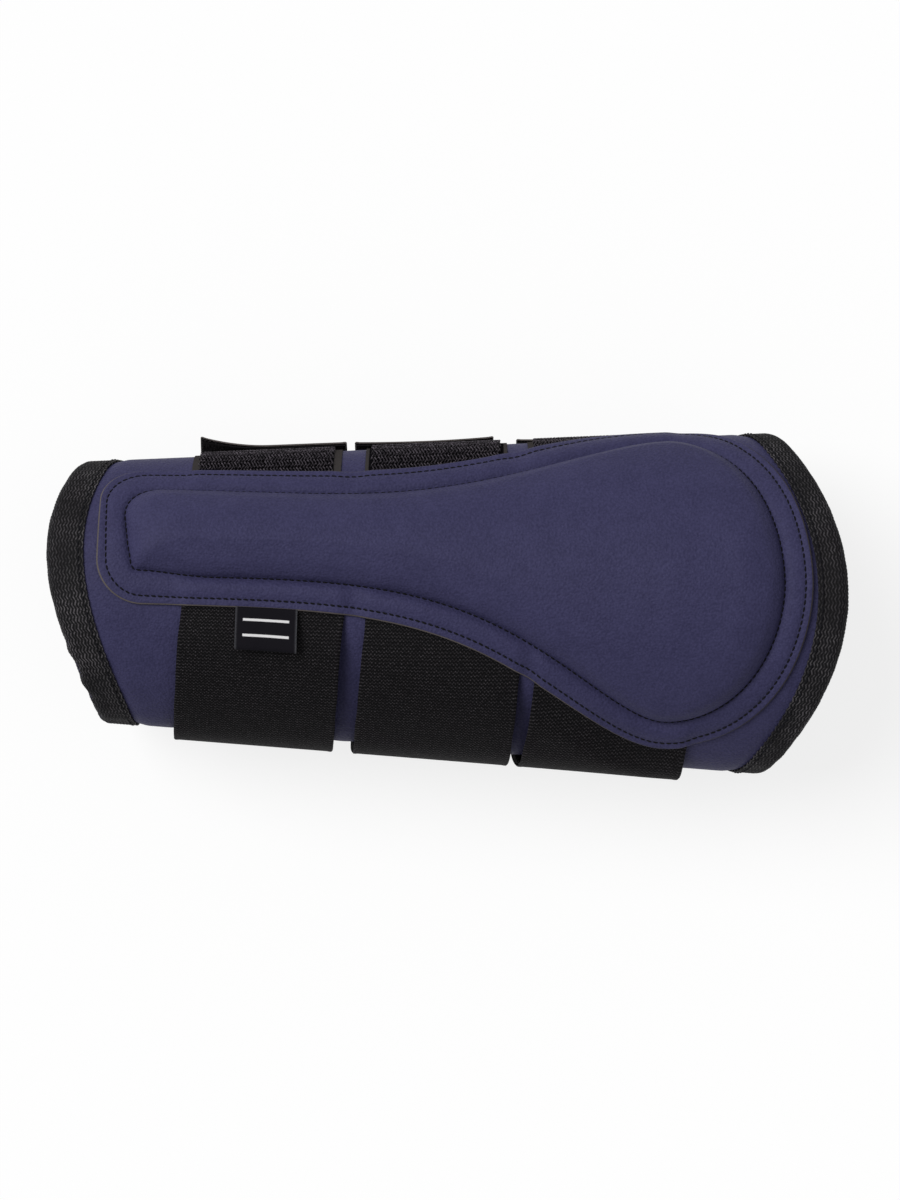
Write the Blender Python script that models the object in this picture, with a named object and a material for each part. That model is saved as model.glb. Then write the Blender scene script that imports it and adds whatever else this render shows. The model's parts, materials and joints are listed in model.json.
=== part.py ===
"""Padded brushing boot for the lower leg of a horse, closed and lying on its back.

X runs from the cannon end to the fetlock end, Z is up through the strike pad, and the strap
ends come up the +Y side. Every layer is a flat blank, cut along the boot's straight lines and
wrapped round one tapered oval section. Girth is measured round the inside at the boot's middle,
from the top of the section, positive towards -Y. Height is measured outwards from the lining.
"""

import math

import bmesh
import bpy
from mathutils import Matrix, Vector

# Boot size, in metres
BOOT_LENGTH = 0.2533
CANNON_HALF_WIDTH = 0.0361
FETLOCK_HALF_WIDTH = 0.0509
UPPER_SIDE_RADIUS = 0.0202
LOWER_SIDE_RADIUS = 0.0241
CROWN_HALF_ANGLE = math.radians(50)

# How much longer the boot is over the strike pad than at its sides and back
CANNON_END_BULGE = 0.016
CANNON_BULGE_GIRTH = -0.017
FETLOCK_END_BULGE = 0.025
FETLOCK_BULGE_GIRTH = -0.0005
BULGE_REACH = 0.080

# Layers and gaps
CLEARANCE = 0.0003
LINING_THICKNESS = 0.001
FOAM_THICKNESS = 0.003
SKIN_THICKNESS = 0.001
BINDING_THICKNESS = 0.001
BINDING_WIDTH = 0.0115
EDGE_TAPE_THICKNESS = 0.0008
EDGE_TAPE_WIDTH = 0.006
HOOK_THICKNESS = 0.0007
LOOP_THICKNESS = 0.0007

# Where the section is divided, as the angle of its outward normal from straight up
HINGE_ANGLE = math.radians(97)
CLOSURE_ANGLE = math.radians(-150)
PEEL_ANGLE = math.radians(-146)
LOOP_ANGLE = math.radians(-133)
STRAP_RISE_ANGLE = math.radians(65)
JOINT_AXIS_MARGIN = 0.00015

# Straps, and the parts of the spare length at the back that lie before, between and after them
STRAP_WIDTH = 0.050
STRAP_END_MARGIN = 0.0015
STRAP_THICKNESS = 0.0014
STRAP_SPACING = (130, 79, 34, 150)
STRAP_LEAN = 0.0045
STRAP_TUCK = 0.007
TAB_LEAVE_ANGLES = (math.radians(-110), math.radians(-112), math.radians(-125))
TAB_LENGTHS = (0.0064, 0.0056, 0.0084)

# Strike pad, set in from the boot's ends, with its half widths measured along the girth
PAD_CANNON_MARGIN = 0.0161
PAD_FETLOCK_MARGIN = 0.0098
PAD_HEAD_LENGTH = 0.0488
PAD_HANDLE_LENGTH = 0.0605
PAD_HANDLE_HALF_WIDTH = 0.0219
PAD_HEAD_HALF_WIDTH = 0.051
PAD_CORNER_RADIUS = 0.013
PAD_HANDLE_GIRTH = -0.0185
PAD_FETLOCK_GIRTH = -0.003
PAD_FLARE_POWER = 1.7
PAD_CENTRE_POWER = 1.5
PAD_COVER_THICKNESS = 0.0012
PAD_SEAM_INSET = 0.010
PAD_STIFFENER_INSET = 0.012
PAD_CROWN_HEIGHT = 0.007
PAD_ROLL_WIDTH = 0.011
PAD_INSET_SHARE = 0.85
PAD_ROLL_RINGS = (0.08, 0.3, 0.62, 1)

# Size label, placed from the middle of the first strap
LABEL_STRAP_OFFSET = 0.0057
LABEL_WIDTH = 0.0195
LABEL_LENGTH = 0.0135
LABEL_PLY = 0.0004
LABEL_GAP = 0.0005

# Smoothness of the wrapped sheets
CROWN_FACETS = 8
UPPER_SIDE_FACETS = 4
LOWER_SIDE_FACETS = 9
PAD_OUTLINE_STEPS = 34
TUCK_STEPS = 6
WELD_DISTANCE = 1e-6
FLAT_ANGLE = 1e-4
SHARP_ANGLE = math.radians(40)

# Section of unit half width, from which every girth and height is worked out
MIDDLE_HALF_WIDTH = (CANNON_HALF_WIDTH + FETLOCK_HALF_WIDTH) / 2
UPPER = UPPER_SIDE_RADIUS / MIDDLE_HALF_WIDTH
LOWER = LOWER_SIDE_RADIUS / MIDDLE_HALF_WIDTH
CROWN = UPPER + (1 - UPPER) / math.sin(CROWN_HALF_ANGLE)
CROWN_CENTRE = UPPER + (1 - UPPER) * math.tan(CROWN_HALF_ANGLE / 2) - CROWN
CROWN_EDGE = CROWN * CROWN_HALF_ANGLE
WIDEST = CROWN_EDGE + UPPER * (math.pi / 2 - CROWN_HALF_ANGLE)
FLAT_EDGE = WIDEST + LOWER * math.pi / 2
HALF_GIRTH = FLAT_EDGE + 1 - LOWER

# Places along the boot of the strike pad's parts, and the boot's back between its bindings
PAD_CANNON_X = -BOOT_LENGTH / 2 + PAD_CANNON_MARGIN
PAD_FLARE_X = PAD_CANNON_X + PAD_HANDLE_LENGTH
PAD_FETLOCK_X = BOOT_LENGTH / 2 - PAD_FETLOCK_MARGIN
PAD_HEAD_X = PAD_FETLOCK_X - PAD_HEAD_LENGTH
BACK_START = -BOOT_LENGTH / 2 + CANNON_END_BULGE + BINDING_WIDTH
BACK_END = BOOT_LENGTH / 2 - FETLOCK_END_BULGE - BINDING_WIDTH
STRAP_END_WIDTH = STRAP_WIDTH - 2 * STRAP_END_MARGIN

# Heights of the layers above the lining's inner face
FOAM_BASE = LINING_THICKNESS + CLEARANCE
SKIN_BASE = FOAM_BASE + FOAM_THICKNESS + CLEARANCE
SEWN_BASE = SKIN_BASE + SKIN_THICKNESS + CLEARANCE
LOOP_BASE = SEWN_BASE + HOOK_THICKNESS + CLEARANCE
STRAP_BASE = LOOP_BASE + LOOP_THICKNESS + CLEARANCE
PAD_BASE = SEWN_BASE + STRAP_THICKNESS + CLEARANCE
PAD_TOP = PAD_BASE + PAD_COVER_THICKNESS
FLOOR_HEIGHT = STRAP_BASE + STRAP_THICKNESS

NAVY = (0.045, 0.041, 0.095, 1)
BLACK = (0.012, 0.012, 0.014, 1)
CHARCOAL = (0.045, 0.047, 0.052, 1)
FOAM_GREY = (0.16, 0.16, 0.17, 1)
LINING_GREY = (0.03, 0.03, 0.035, 1)


def half_width(x):
    """Inside half width of the tapered boot at x."""
    return MIDDLE_HALF_WIDTH + (FETLOCK_HALF_WIDTH - CANNON_HALF_WIDTH) * x / BOOT_LENGTH


def girth_at(angle):
    """Girth of the point whose outward normal leans by this angle from straight up."""
    lean = abs(angle)
    if lean <= CROWN_HALF_ANGLE:
        unit = CROWN * lean
    elif lean <= math.pi / 2:
        unit = CROWN_EDGE + UPPER * (lean - CROWN_HALF_ANGLE)
    else:
        unit = WIDEST + LOWER * (lean - math.pi / 2)
    return math.copysign(unit * MIDDLE_HALF_WIDTH, angle)


def far_side(girth):
    """The same point of the section, counted on past the bottom instead of from the top."""
    return girth + 2 * HALF_GIRTH * MIDDLE_HALF_WIDTH


def section(girth):
    """Point and outward normal, each (y, z), of the section of unit half width."""
    unit = girth / MIDDLE_HALF_WIDTH
    if unit > HALF_GIRTH:
        unit -= 2 * HALF_GIRTH
    side = -math.copysign(1, unit)
    unit = abs(unit)
    if unit <= CROWN_EDGE:
        lean = unit / CROWN
        centre = (0, CROWN_CENTRE)
        radius = CROWN
    elif unit <= WIDEST:
        lean = CROWN_HALF_ANGLE + (unit - CROWN_EDGE) / UPPER
        centre = (1 - UPPER, 0)
        radius = UPPER
    elif unit <= FLAT_EDGE:
        lean = math.pi / 2 + (unit - WIDEST) / LOWER
        centre = (1 - LOWER, 0)
        radius = LOWER
    else:
        lean = math.pi
        centre = (HALF_GIRTH - unit, 0)
        radius = LOWER
    normal = Vector((side * math.sin(lean), math.cos(lean)))
    point = Vector((side * centre[0], centre[1])) + radius * normal
    return point, normal


def boot_point(x, girth, height):
    """The place in space of a point on the boot."""
    point, normal = section(girth)
    half = half_width(x)
    y, z = half * point + height * normal
    return Vector((x, y, z + LOWER * half + FLOOR_HEIGHT))


def stations():
    """Girths of the straight lines along which every sheet may bend."""
    units = [CROWN_EDGE * step / CROWN_FACETS for step in range(CROWN_FACETS)]
    side = WIDEST - CROWN_EDGE
    units += [CROWN_EDGE + side * step / UPPER_SIDE_FACETS for step in range(UPPER_SIDE_FACETS)]
    corner = FLAT_EDGE - WIDEST
    units += [WIDEST + corner * step / LOWER_SIDE_FACETS for step in range(LOWER_SIDE_FACETS)]
    units += [FLAT_EDGE, HALF_GIRTH]
    turns = [-unit for unit in units[1:]] + units + [2 * HALF_GIRTH - unit for unit in units[:-1]]
    return sorted(unit * MIDDLE_HALF_WIDTH for unit in turns)


def end_drop(girth, bulge, bulge_girth):
    """How far an end is cut back from its longest point at this girth."""
    if girth > HALF_GIRTH * MIDDLE_HALF_WIDTH:
        girth -= far_side(0)
    share = min(1, abs(girth - bulge_girth) / BULGE_REACH)
    return bulge * math.sin(share * math.pi / 2) ** 2


def cannon_end(girth):
    """Where the layers end at the cannon end."""
    edge = CLEARANCE + BINDING_THICKNESS
    return -BOOT_LENGTH / 2 + edge + end_drop(girth, CANNON_END_BULGE, CANNON_BULGE_GIRTH)


def fetlock_end(girth):
    """Where the layers end at the fetlock end."""
    edge = CLEARANCE + BINDING_THICKNESS
    return BOOT_LENGTH / 2 - edge - end_drop(girth, FETLOCK_END_BULGE, FETLOCK_BULGE_GIRTH)


def smooth(share):
    """Ease from 0 to 1."""
    share = max(0, min(1, share))
    return share * share * (3 - 2 * share)


def strap_centre(number):
    """Where the middle of a strap lies along the boot."""
    spare = BACK_END - BACK_START - len(TAB_LENGTHS) * STRAP_WIDTH
    before = sum(STRAP_SPACING[:number]) / sum(STRAP_SPACING)
    return BACK_START + spare * before + STRAP_WIDTH * (number - 0.5)


def strap_base(girth):
    """Height of a strap's inner face, which stands off the skin from the side onwards."""
    start = girth_at(STRAP_RISE_ANGLE)
    share = (girth - start) / (girth_at(HINGE_ANGLE) - start)
    return SEWN_BASE + (STRAP_BASE - SEWN_BASE) * smooth(share)


def strap_shift(girth):
    """How far a strap leans towards the fetlock end on its way up to the strike pad."""
    return STRAP_LEAN * max(0, 1 - max(0, girth) / girth_at(HINGE_ANGLE))


def pad_centre(x):
    """Girth of the strike pad's centre line."""
    share = max(0, (x - PAD_FLARE_X) / (PAD_FETLOCK_X - PAD_FLARE_X))
    return PAD_HANDLE_GIRTH + (PAD_FETLOCK_GIRTH - PAD_HANDLE_GIRTH) * share**PAD_CENTRE_POWER


def pad_half(x, inset=0):
    """Half width of the strike pad's outline at x, drawn in by an inset."""
    start = PAD_CANNON_X + inset
    end = PAD_FETLOCK_X - inset
    handle = PAD_HANDLE_HALF_WIDTH - PAD_INSET_SHARE * inset
    head = PAD_HEAD_HALF_WIDTH - PAD_INSET_SHARE * inset
    corner = min(handle, max(PAD_CORNER_RADIUS - inset / 2, PAD_CORNER_RADIUS / 4))
    if x > PAD_HEAD_X:
        return head * math.sqrt(max(0, 1 - ((x - PAD_HEAD_X) / (end - PAD_HEAD_X)) ** 2))
    flare = max(0, (x - PAD_FLARE_X) / (PAD_HEAD_X - PAD_FLARE_X))
    half = handle + (head - handle) * smooth(flare**PAD_FLARE_POWER)
    short = max(0, corner - (x - start))
    return half - corner + math.sqrt(max(0, corner**2 - short**2))


def pad_outline(inset):
    """The strike pad's outline as (x, girth) points, drawn in by an inset."""
    start = PAD_CANNON_X + inset
    length = PAD_FETLOCK_X - PAD_CANNON_X - 2 * inset
    turns = [math.pi * step / PAD_OUTLINE_STEPS for step in range(PAD_OUTLINE_STEPS + 1)]
    places = [start + length * (1 - math.cos(turn)) / 2 for turn in turns]
    lower = [(x, pad_centre(x) + pad_half(x, inset)) for x in places[:-1]]
    upper = [(x, pad_centre(x) - pad_half(x, inset)) for x in places]
    return lower + upper[::-1]


def blank(outline, low, high):
    """A flat outline with thickness from low to high, each of its caps one face."""
    curve = bpy.data.curves.new("blank", "CURVE")
    curve.dimensions = "2D"
    curve.fill_mode = "BOTH"
    curve.extrude = (high - low) / 2
    spline = curve.splines.new("POLY")
    spline.points.add(len(outline) - 1)
    spline.use_cyclic_u = True
    for point, (first, second) in zip(spline.points, outline):
        point.co = (first, second, 0, 1)
    template = bpy.data.objects.new("blank", curve)
    BOOT.objects.link(template)
    evaluated = template.evaluated_get(bpy.context.evaluated_depsgraph_get())
    mesh = bpy.data.meshes.new_from_object(evaluated)
    sheet = bmesh.new()
    sheet.from_mesh(mesh)
    bpy.data.objects.remove(template)
    bpy.data.curves.remove(curve)
    bpy.data.meshes.remove(mesh)
    bmesh.ops.remove_doubles(sheet, verts=sheet.verts, dist=WELD_DISTANCE)
    bmesh.ops.dissolve_limit(sheet, angle_limit=FLAT_ANGLE, verts=sheet.verts, edges=sheet.edges)
    bmesh.ops.translate(sheet, verts=sheet.verts, vec=(0, 0, (low + high) / 2))
    return sheet


def turned(sheet, order):
    """Swap a blank's axes, so that order names the axis that each coordinate comes from."""
    for vert in sheet.verts:
        vert.co = Vector([vert.co[axis] for axis in order])
    return sheet


def sliced(sheet, faces):
    """Cut these faces of a blank across, along the boot's straight lines."""
    for girth in stations():
        region = set(faces)
        region.update(edge for face in faces for edge in face.edges)
        region.update(vert for face in faces for vert in face.verts)
        cut = bmesh.ops.bisect_plane(
            sheet,
            geom=list(region),
            dist=WELD_DISTANCE,
            plane_co=(0, girth, 0),
            plane_no=(0, 1, 0),
        )
        faces = [item for item in cut["geom"] if isinstance(item, bmesh.types.BMFace)]
    return sheet


def bent(sheet, place):
    """Bend a blank to its place, with its faces pointing out."""
    for vert in sheet.verts:
        vert.co = place(*vert.co)
    bmesh.ops.recalc_face_normals(sheet, faces=sheet.faces)
    if sheet.calc_volume(signed=True) < 0:
        bmesh.ops.reverse_faces(sheet, faces=sheet.faces)
    return sheet


def wrapped(sheet, place=boot_point):
    """Slice a blank all over and wrap it round the boot."""
    return bent(sliced(sheet, sheet.faces[:]), place)


def material(name, colour, roughness):
    """A plain finish."""
    finish = bpy.data.materials.new(name)
    finish.use_nodes = True
    shader = finish.node_tree.nodes["Principled BSDF"]
    shader.inputs["Base Color"].default_value = colour
    shader.inputs["Roughness"].default_value = roughness
    shader.inputs["Metallic"].default_value = 0
    finish.diffuse_color = colour
    return finish


def add_part(name, sheet, finish, hinge=None):
    """Make one named sub-part, carried by a hinge where it moves."""
    mesh = bpy.data.meshes.new(name)
    sheet.to_mesh(mesh)
    sheet.free()
    mesh.shade_smooth()
    mesh.set_sharp_from_angle(angle=SHARP_ANGLE)
    mesh.materials.append(finish)
    part = bpy.data.objects.new(name, mesh)
    BOOT.objects.link(part)
    if hinge:
        part.parent = hinge
        part.matrix_parent_inverse = hinge.matrix_world.inverted()
    return part


def add_hinge(name, start, end, parent=None):
    """An empty on a joint's axis, its own X axis along the axis."""
    along = (end - start).normalized()
    across = Vector((0, 0, 1)).cross(along).normalized()
    turn = Matrix((along, across, along.cross(across))).transposed().to_4x4()
    hinge = bpy.data.objects.new(name, None)
    BOOT.objects.link(hinge)
    world = Matrix.Translation((start + end) / 2) @ turn
    if parent:
        hinge.parent = parent
        hinge.matrix_parent_inverse = parent.matrix_world.inverted()
    hinge.matrix_basis = world
    bpy.context.view_layer.update()
    return hinge


def shell_blank(start, end, low, high):
    """One layer of the boot between two girths, cut to the curved ends."""
    cuts = [start] + [girth for girth in stations() if start < girth < end] + [end]
    cannon = [(cannon_end(girth), girth) for girth in cuts]
    fetlock = [(fetlock_end(girth), girth) for girth in cuts]
    return blank(fetlock + cannon[::-1], low, high)


def fold_profile(reach, thickness):
    """Section of a tape folded over the shell's edge, as (distance past the edge, height)."""
    inner = -CLEARANCE
    outer = SEWN_BASE
    past = CLEARANCE + thickness
    return [
        (-reach, outer),
        (CLEARANCE, outer),
        (CLEARANCE, inner),
        (-reach, inner),
        (-reach, inner - thickness),
        (past, inner - thickness),
        (past, outer + thickness),
        (-reach, outer + thickness),
    ]


def end_binding(start, end, edge, outwards):
    """Webbing folded over one curved end of the shell between two girths."""
    reach = BINDING_WIDTH - BINDING_THICKNESS - CLEARANCE
    bar = turned(blank(fold_profile(reach, BINDING_THICKNESS), start, end), (0, 2, 1))

    def place(past, girth, height):
        return boot_point(edge(girth) + outwards * past, girth, height)

    return wrapped(bar, place)


def closure_tape(edge, outwards):
    """Tape folded over one long closure edge, between the end bindings."""
    reach = EDGE_TAPE_WIDTH - EDGE_TAPE_THICKNESS - CLEARANCE
    trim = BINDING_WIDTH + CLEARANCE
    low = cannon_end(edge) + trim
    high = fetlock_end(edge) - trim
    bar = turned(blank(fold_profile(reach, EDGE_TAPE_THICKNESS), low, high), (2, 0, 1))
    for vert in bar.verts:
        vert.co.y = edge + outwards * vert.co.y
    return wrapped(bar)


def build_shell(side, start, end, hinge):
    """Lining, foam, skin and end bindings of the front or the back of the boot."""
    lining = shell_blank(start, end, 0, LINING_THICKNESS)
    add_part(side + "_lining", wrapped(lining), LINING_FINISH, hinge)
    foam = shell_blank(start, end, FOAM_BASE, FOAM_BASE + FOAM_THICKNESS)
    add_part(side + "_foam", wrapped(foam), FOAM_FINISH, hinge)
    skin = shell_blank(start, end, SKIN_BASE, SKIN_BASE + SKIN_THICKNESS)
    add_part(side + "_skin", wrapped(skin), SKIN_FINISH, hinge)
    cannon = end_binding(start, end, cannon_end, -1)
    add_part(side + "_cannon_binding", cannon, WEBBING_FINISH, hinge)
    fetlock = end_binding(start, end, fetlock_end, 1)
    add_part(side + "_fetlock_binding", fetlock, WEBBING_FINISH, hinge)


def pad_sheet(insets, low):
    """The strike pad's crowned top, lofted through its rings from the first inset to the middle."""
    sheet = bmesh.new()
    outer = []
    for inset in insets:
        ring = []
        for x, girth in pad_outline(inset):
            ring.append(sheet.verts.new((x, girth, low + pad_crown(inset))))
        for index in range(len(outer)):
            sheet.faces.new((outer[index - 1], outer[index], ring[index], ring[index - 1]))
        outer = ring
    middle = sheet.faces.new(outer)
    return sliced(sheet, [middle])


def pad_crown(inset):
    """How far the cushion stands above the flat flange at this inset."""
    share = max(0, min(1, (inset - PAD_SEAM_INSET) / PAD_ROLL_WIDTH))
    return PAD_CROWN_HEIGHT * math.sqrt(1 - (1 - share) ** 2)


def thickened(sheet, lower):
    """Close a top sheet with a lower face, where lower gives the height under each point."""
    top = sheet.faces[:]
    copies = bmesh.ops.extrude_face_region(sheet, geom=top)["geom"]
    for vert in copies:
        if isinstance(vert, bmesh.types.BMVert):
            vert.co.z = lower(vert.co.z)
    return sheet


def build_strike_pad(hinge):
    """Stiffener, foam insert and crowned cover of the strike pad."""
    stiffener = blank(pad_outline(PAD_STIFFENER_INSET), SEWN_BASE, SEWN_BASE + STRAP_THICKNESS)
    add_part("strike_pad_stiffener", wrapped(stiffener), STIFFENER_FINISH, hinge)

    flange = [0, PAD_SEAM_INSET / 2, PAD_SEAM_INSET]
    roll = [PAD_SEAM_INSET + PAD_ROLL_WIDTH * share for share in PAD_ROLL_RINGS]
    cover = pad_sheet(flange + roll, PAD_TOP)
    thickened(cover, lambda height: height - PAD_COVER_THICKNESS)
    add_part("strike_pad_cover", bent(cover, boot_point), SKIN_FINISH, hinge)

    foam = pad_sheet(roll, PAD_BASE - CLEARANCE)
    thickened(foam, lambda height: PAD_BASE)
    add_part("strike_pad_foam", bent(foam, boot_point), FOAM_FINISH, hinge)


def tucked_outline(centre, width, edge, tuck, end):
    """A band from under the strike pad's edge to another girth, its tucked end along that edge."""
    places = [centre + width * (step / TUCK_STEPS - 0.5) for step in range(TUCK_STEPS + 1)]
    tucked = [(x, edge(x) + tuck) for x in places]
    return tucked + [(places[-1], end), (places[0], end)]


def strap_anchor(centre, end):
    """The run of a strap from under the strike pad to the side of the boot."""

    def edge(x):
        lean = x + STRAP_LEAN
        return pad_centre(lean) + pad_half(lean)

    band = blank(tucked_outline(centre, STRAP_WIDTH, edge, -STRAP_TUCK, end), 0, STRAP_THICKNESS)
    return wrapped(band, strap_point)


def strap_point(x, girth, height):
    """The place of a point on a strap, height counted from the strap's inner face."""
    return boot_point(x + strap_shift(girth), girth, strap_base(girth) + height)


def band_outline(centre, width, start, end):
    """A straight band between two girths."""
    low = centre - width / 2
    high = centre + width / 2
    return [(low, start), (high, start), (high, end), (low, end)]


def hook_patch(centre):
    """Hook tape from under the strike pad's upper edge down to the closure tape."""

    def edge(x):
        return pad_centre(x) - pad_half(x)

    end = girth_at(CLOSURE_ANGLE) + EDGE_TAPE_WIDTH + CLEARANCE
    outline = tucked_outline(centre, STRAP_END_WIDTH, edge, STRAP_TUCK, end)
    return wrapped(blank(outline, SEWN_BASE, SEWN_BASE + HOOK_THICKNESS))


def tab_place(leave):
    """Placing for a strap end, which runs straight on from the girth where it leaves the boot."""

    def place(x, girth, height):
        over = max(0, girth - leave)
        normal = section(leave)[1]
        along = Vector((0, -normal.y, normal.x))
        return boot_point(x, min(girth, leave), height) + over * along

    return place


def build_strap(number, centre, leave_angle, tab_length, hinge):
    """One elastic strap in three runs, with its hook patch and its loop patch."""
    side = girth_at(HINGE_ANGLE)
    gap = CLEARANCE / 2
    anchor = strap_anchor(centre, side - gap)
    add_part(f"strap_{number}_anchor", anchor, ELASTIC_FINISH, hinge)
    add_part(f"hook_patch_{number}", hook_patch(centre), HOOK_FINISH, hinge)

    peel = far_side(girth_at(PEEL_ANGLE))
    run = blank(band_outline(centre, STRAP_WIDTH, side + gap, peel - gap), 0, STRAP_THICKNESS)
    add_part(f"strap_{number}_run", wrapped(run, strap_point), ELASTIC_FINISH)

    axis = [boot_point(x, peel, FLOOR_HEIGHT + JOINT_AXIS_MARGIN) for x in band_ends(centre)]
    peel_hinge = add_hinge(f"strap_{number}_peel_axis", axis[1], axis[0])
    leave = far_side(girth_at(leave_angle))
    tip = leave + tab_length
    place = tab_place(leave)
    outline = band_outline(centre, STRAP_END_WIDTH, peel + gap, tip)
    end = wrapped(blank(outline, STRAP_BASE, FLOOR_HEIGHT), place)
    add_part(f"strap_{number}_end", end, ELASTIC_FINISH, peel_hinge)
    outline = band_outline(centre, STRAP_END_WIDTH, far_side(girth_at(LOOP_ANGLE)), tip)
    loop = wrapped(blank(outline, LOOP_BASE, LOOP_BASE + LOOP_THICKNESS), place)
    add_part(f"loop_patch_{number}", loop, LOOP_FINISH, peel_hinge)


def band_ends(centre):
    """Both edges of a strap, along the boot."""
    return centre - STRAP_WIDTH / 2, centre + STRAP_WIDTH / 2


def build_label(hinge):
    """Woven label folded double, sewn in under the strike pad's lower edge."""
    middle = strap_centre(1) + LABEL_STRAP_OFFSET
    start = pad_centre(middle) + pad_half(middle) + CLEARANCE
    tip = start + LABEL_LENGTH
    low = SEWN_BASE + STRAP_THICKNESS + CLEARANCE
    mid = low + LABEL_PLY
    high = mid + LABEL_GAP
    top = high + LABEL_PLY
    fold = tip - LABEL_PLY
    profile = [
        (start, low),
        (tip, low),
        (tip, top),
        (start, top),
        (start, high),
        (fold, high),
        (fold, mid),
        (start, mid),
    ]
    ends = middle - LABEL_WIDTH / 2, middle + LABEL_WIDTH / 2
    axis = [boot_point(x, start, top + JOINT_AXIS_MARGIN) for x in ends]
    label_hinge = add_hinge("label_axis", axis[0], axis[1], hinge)
    ribbon = wrapped(turned(blank(profile, *ends), (2, 0, 1)))
    add_part("size_label", ribbon, LABEL_FINISH, label_hinge)


def build_boot():
    """Build the whole boot around its hinges."""
    side = girth_at(HINGE_ANGLE)
    closure = girth_at(CLOSURE_ANGLE)
    gap = CLEARANCE / 2
    axis_height = FLOOR_HEIGHT + JOINT_AXIS_MARGIN
    axis = [boot_point(x, side, axis_height) for x in (-BOOT_LENGTH / 2, BOOT_LENGTH / 2)]
    shell_hinge = add_hinge("shell_hinge_axis", *axis)

    tape = CLEARANCE + EDGE_TAPE_THICKNESS + gap
    front_edge = closure + tape
    back_edge = far_side(closure) - tape
    build_shell("front", front_edge, side - gap, shell_hinge)
    build_shell("back", side + gap, back_edge, None)
    front_tape = closure_tape(front_edge, -1)
    add_part("front_closure_tape", front_tape, WEBBING_FINISH, shell_hinge)
    add_part("back_closure_tape", closure_tape(back_edge, 1), WEBBING_FINISH)

    build_strike_pad(shell_hinge)
    for number, (leave, length) in enumerate(zip(TAB_LEAVE_ANGLES, TAB_LENGTHS), 1):
        build_strap(number, strap_centre(number), leave, length, shell_hinge)
    build_label(shell_hinge)


for leftover in list(bpy.data.objects):
    bpy.data.objects.remove(leftover)
BOOT = bpy.data.collections.new("tendon_boot")
bpy.context.scene.collection.children.link(BOOT)

SKIN_FINISH = material("navy_grained_skin", NAVY, 0.5)
WEBBING_FINISH = material("black_webbing", BLACK, 0.8)
ELASTIC_FINISH = material("black_elastic", BLACK, 0.75)
HOOK_FINISH = material("charcoal_hook_tape", CHARCOAL, 0.7)
LOOP_FINISH = material("black_loop_pile", BLACK, 0.95)
LABEL_FINISH = material("black_woven_label", BLACK, 0.7)
FOAM_FINISH = material("grey_foam", FOAM_GREY, 0.9)
LINING_FINISH = material("dark_lining", LINING_GREY, 0.9)
STIFFENER_FINISH = material("black_stiffener", BLACK, 0.5)

build_boot()
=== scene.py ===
"""Looks of the padded brushing boot: skin, lining, webbing, strike pad, straps and label.

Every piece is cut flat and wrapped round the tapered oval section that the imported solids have.
A flat point is (x, girth, height) in metres: x runs along the boot, girth runs round it from the
top of the section, positive towards -Y, and height is counted out from the lining's inner face.
"""

import json
import logging
import math
from contextlib import contextmanager
from dataclasses import dataclass, field
from enum import Enum
from typing import Any, Callable, Iterator, Mapping, Optional, Sequence, Union

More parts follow.
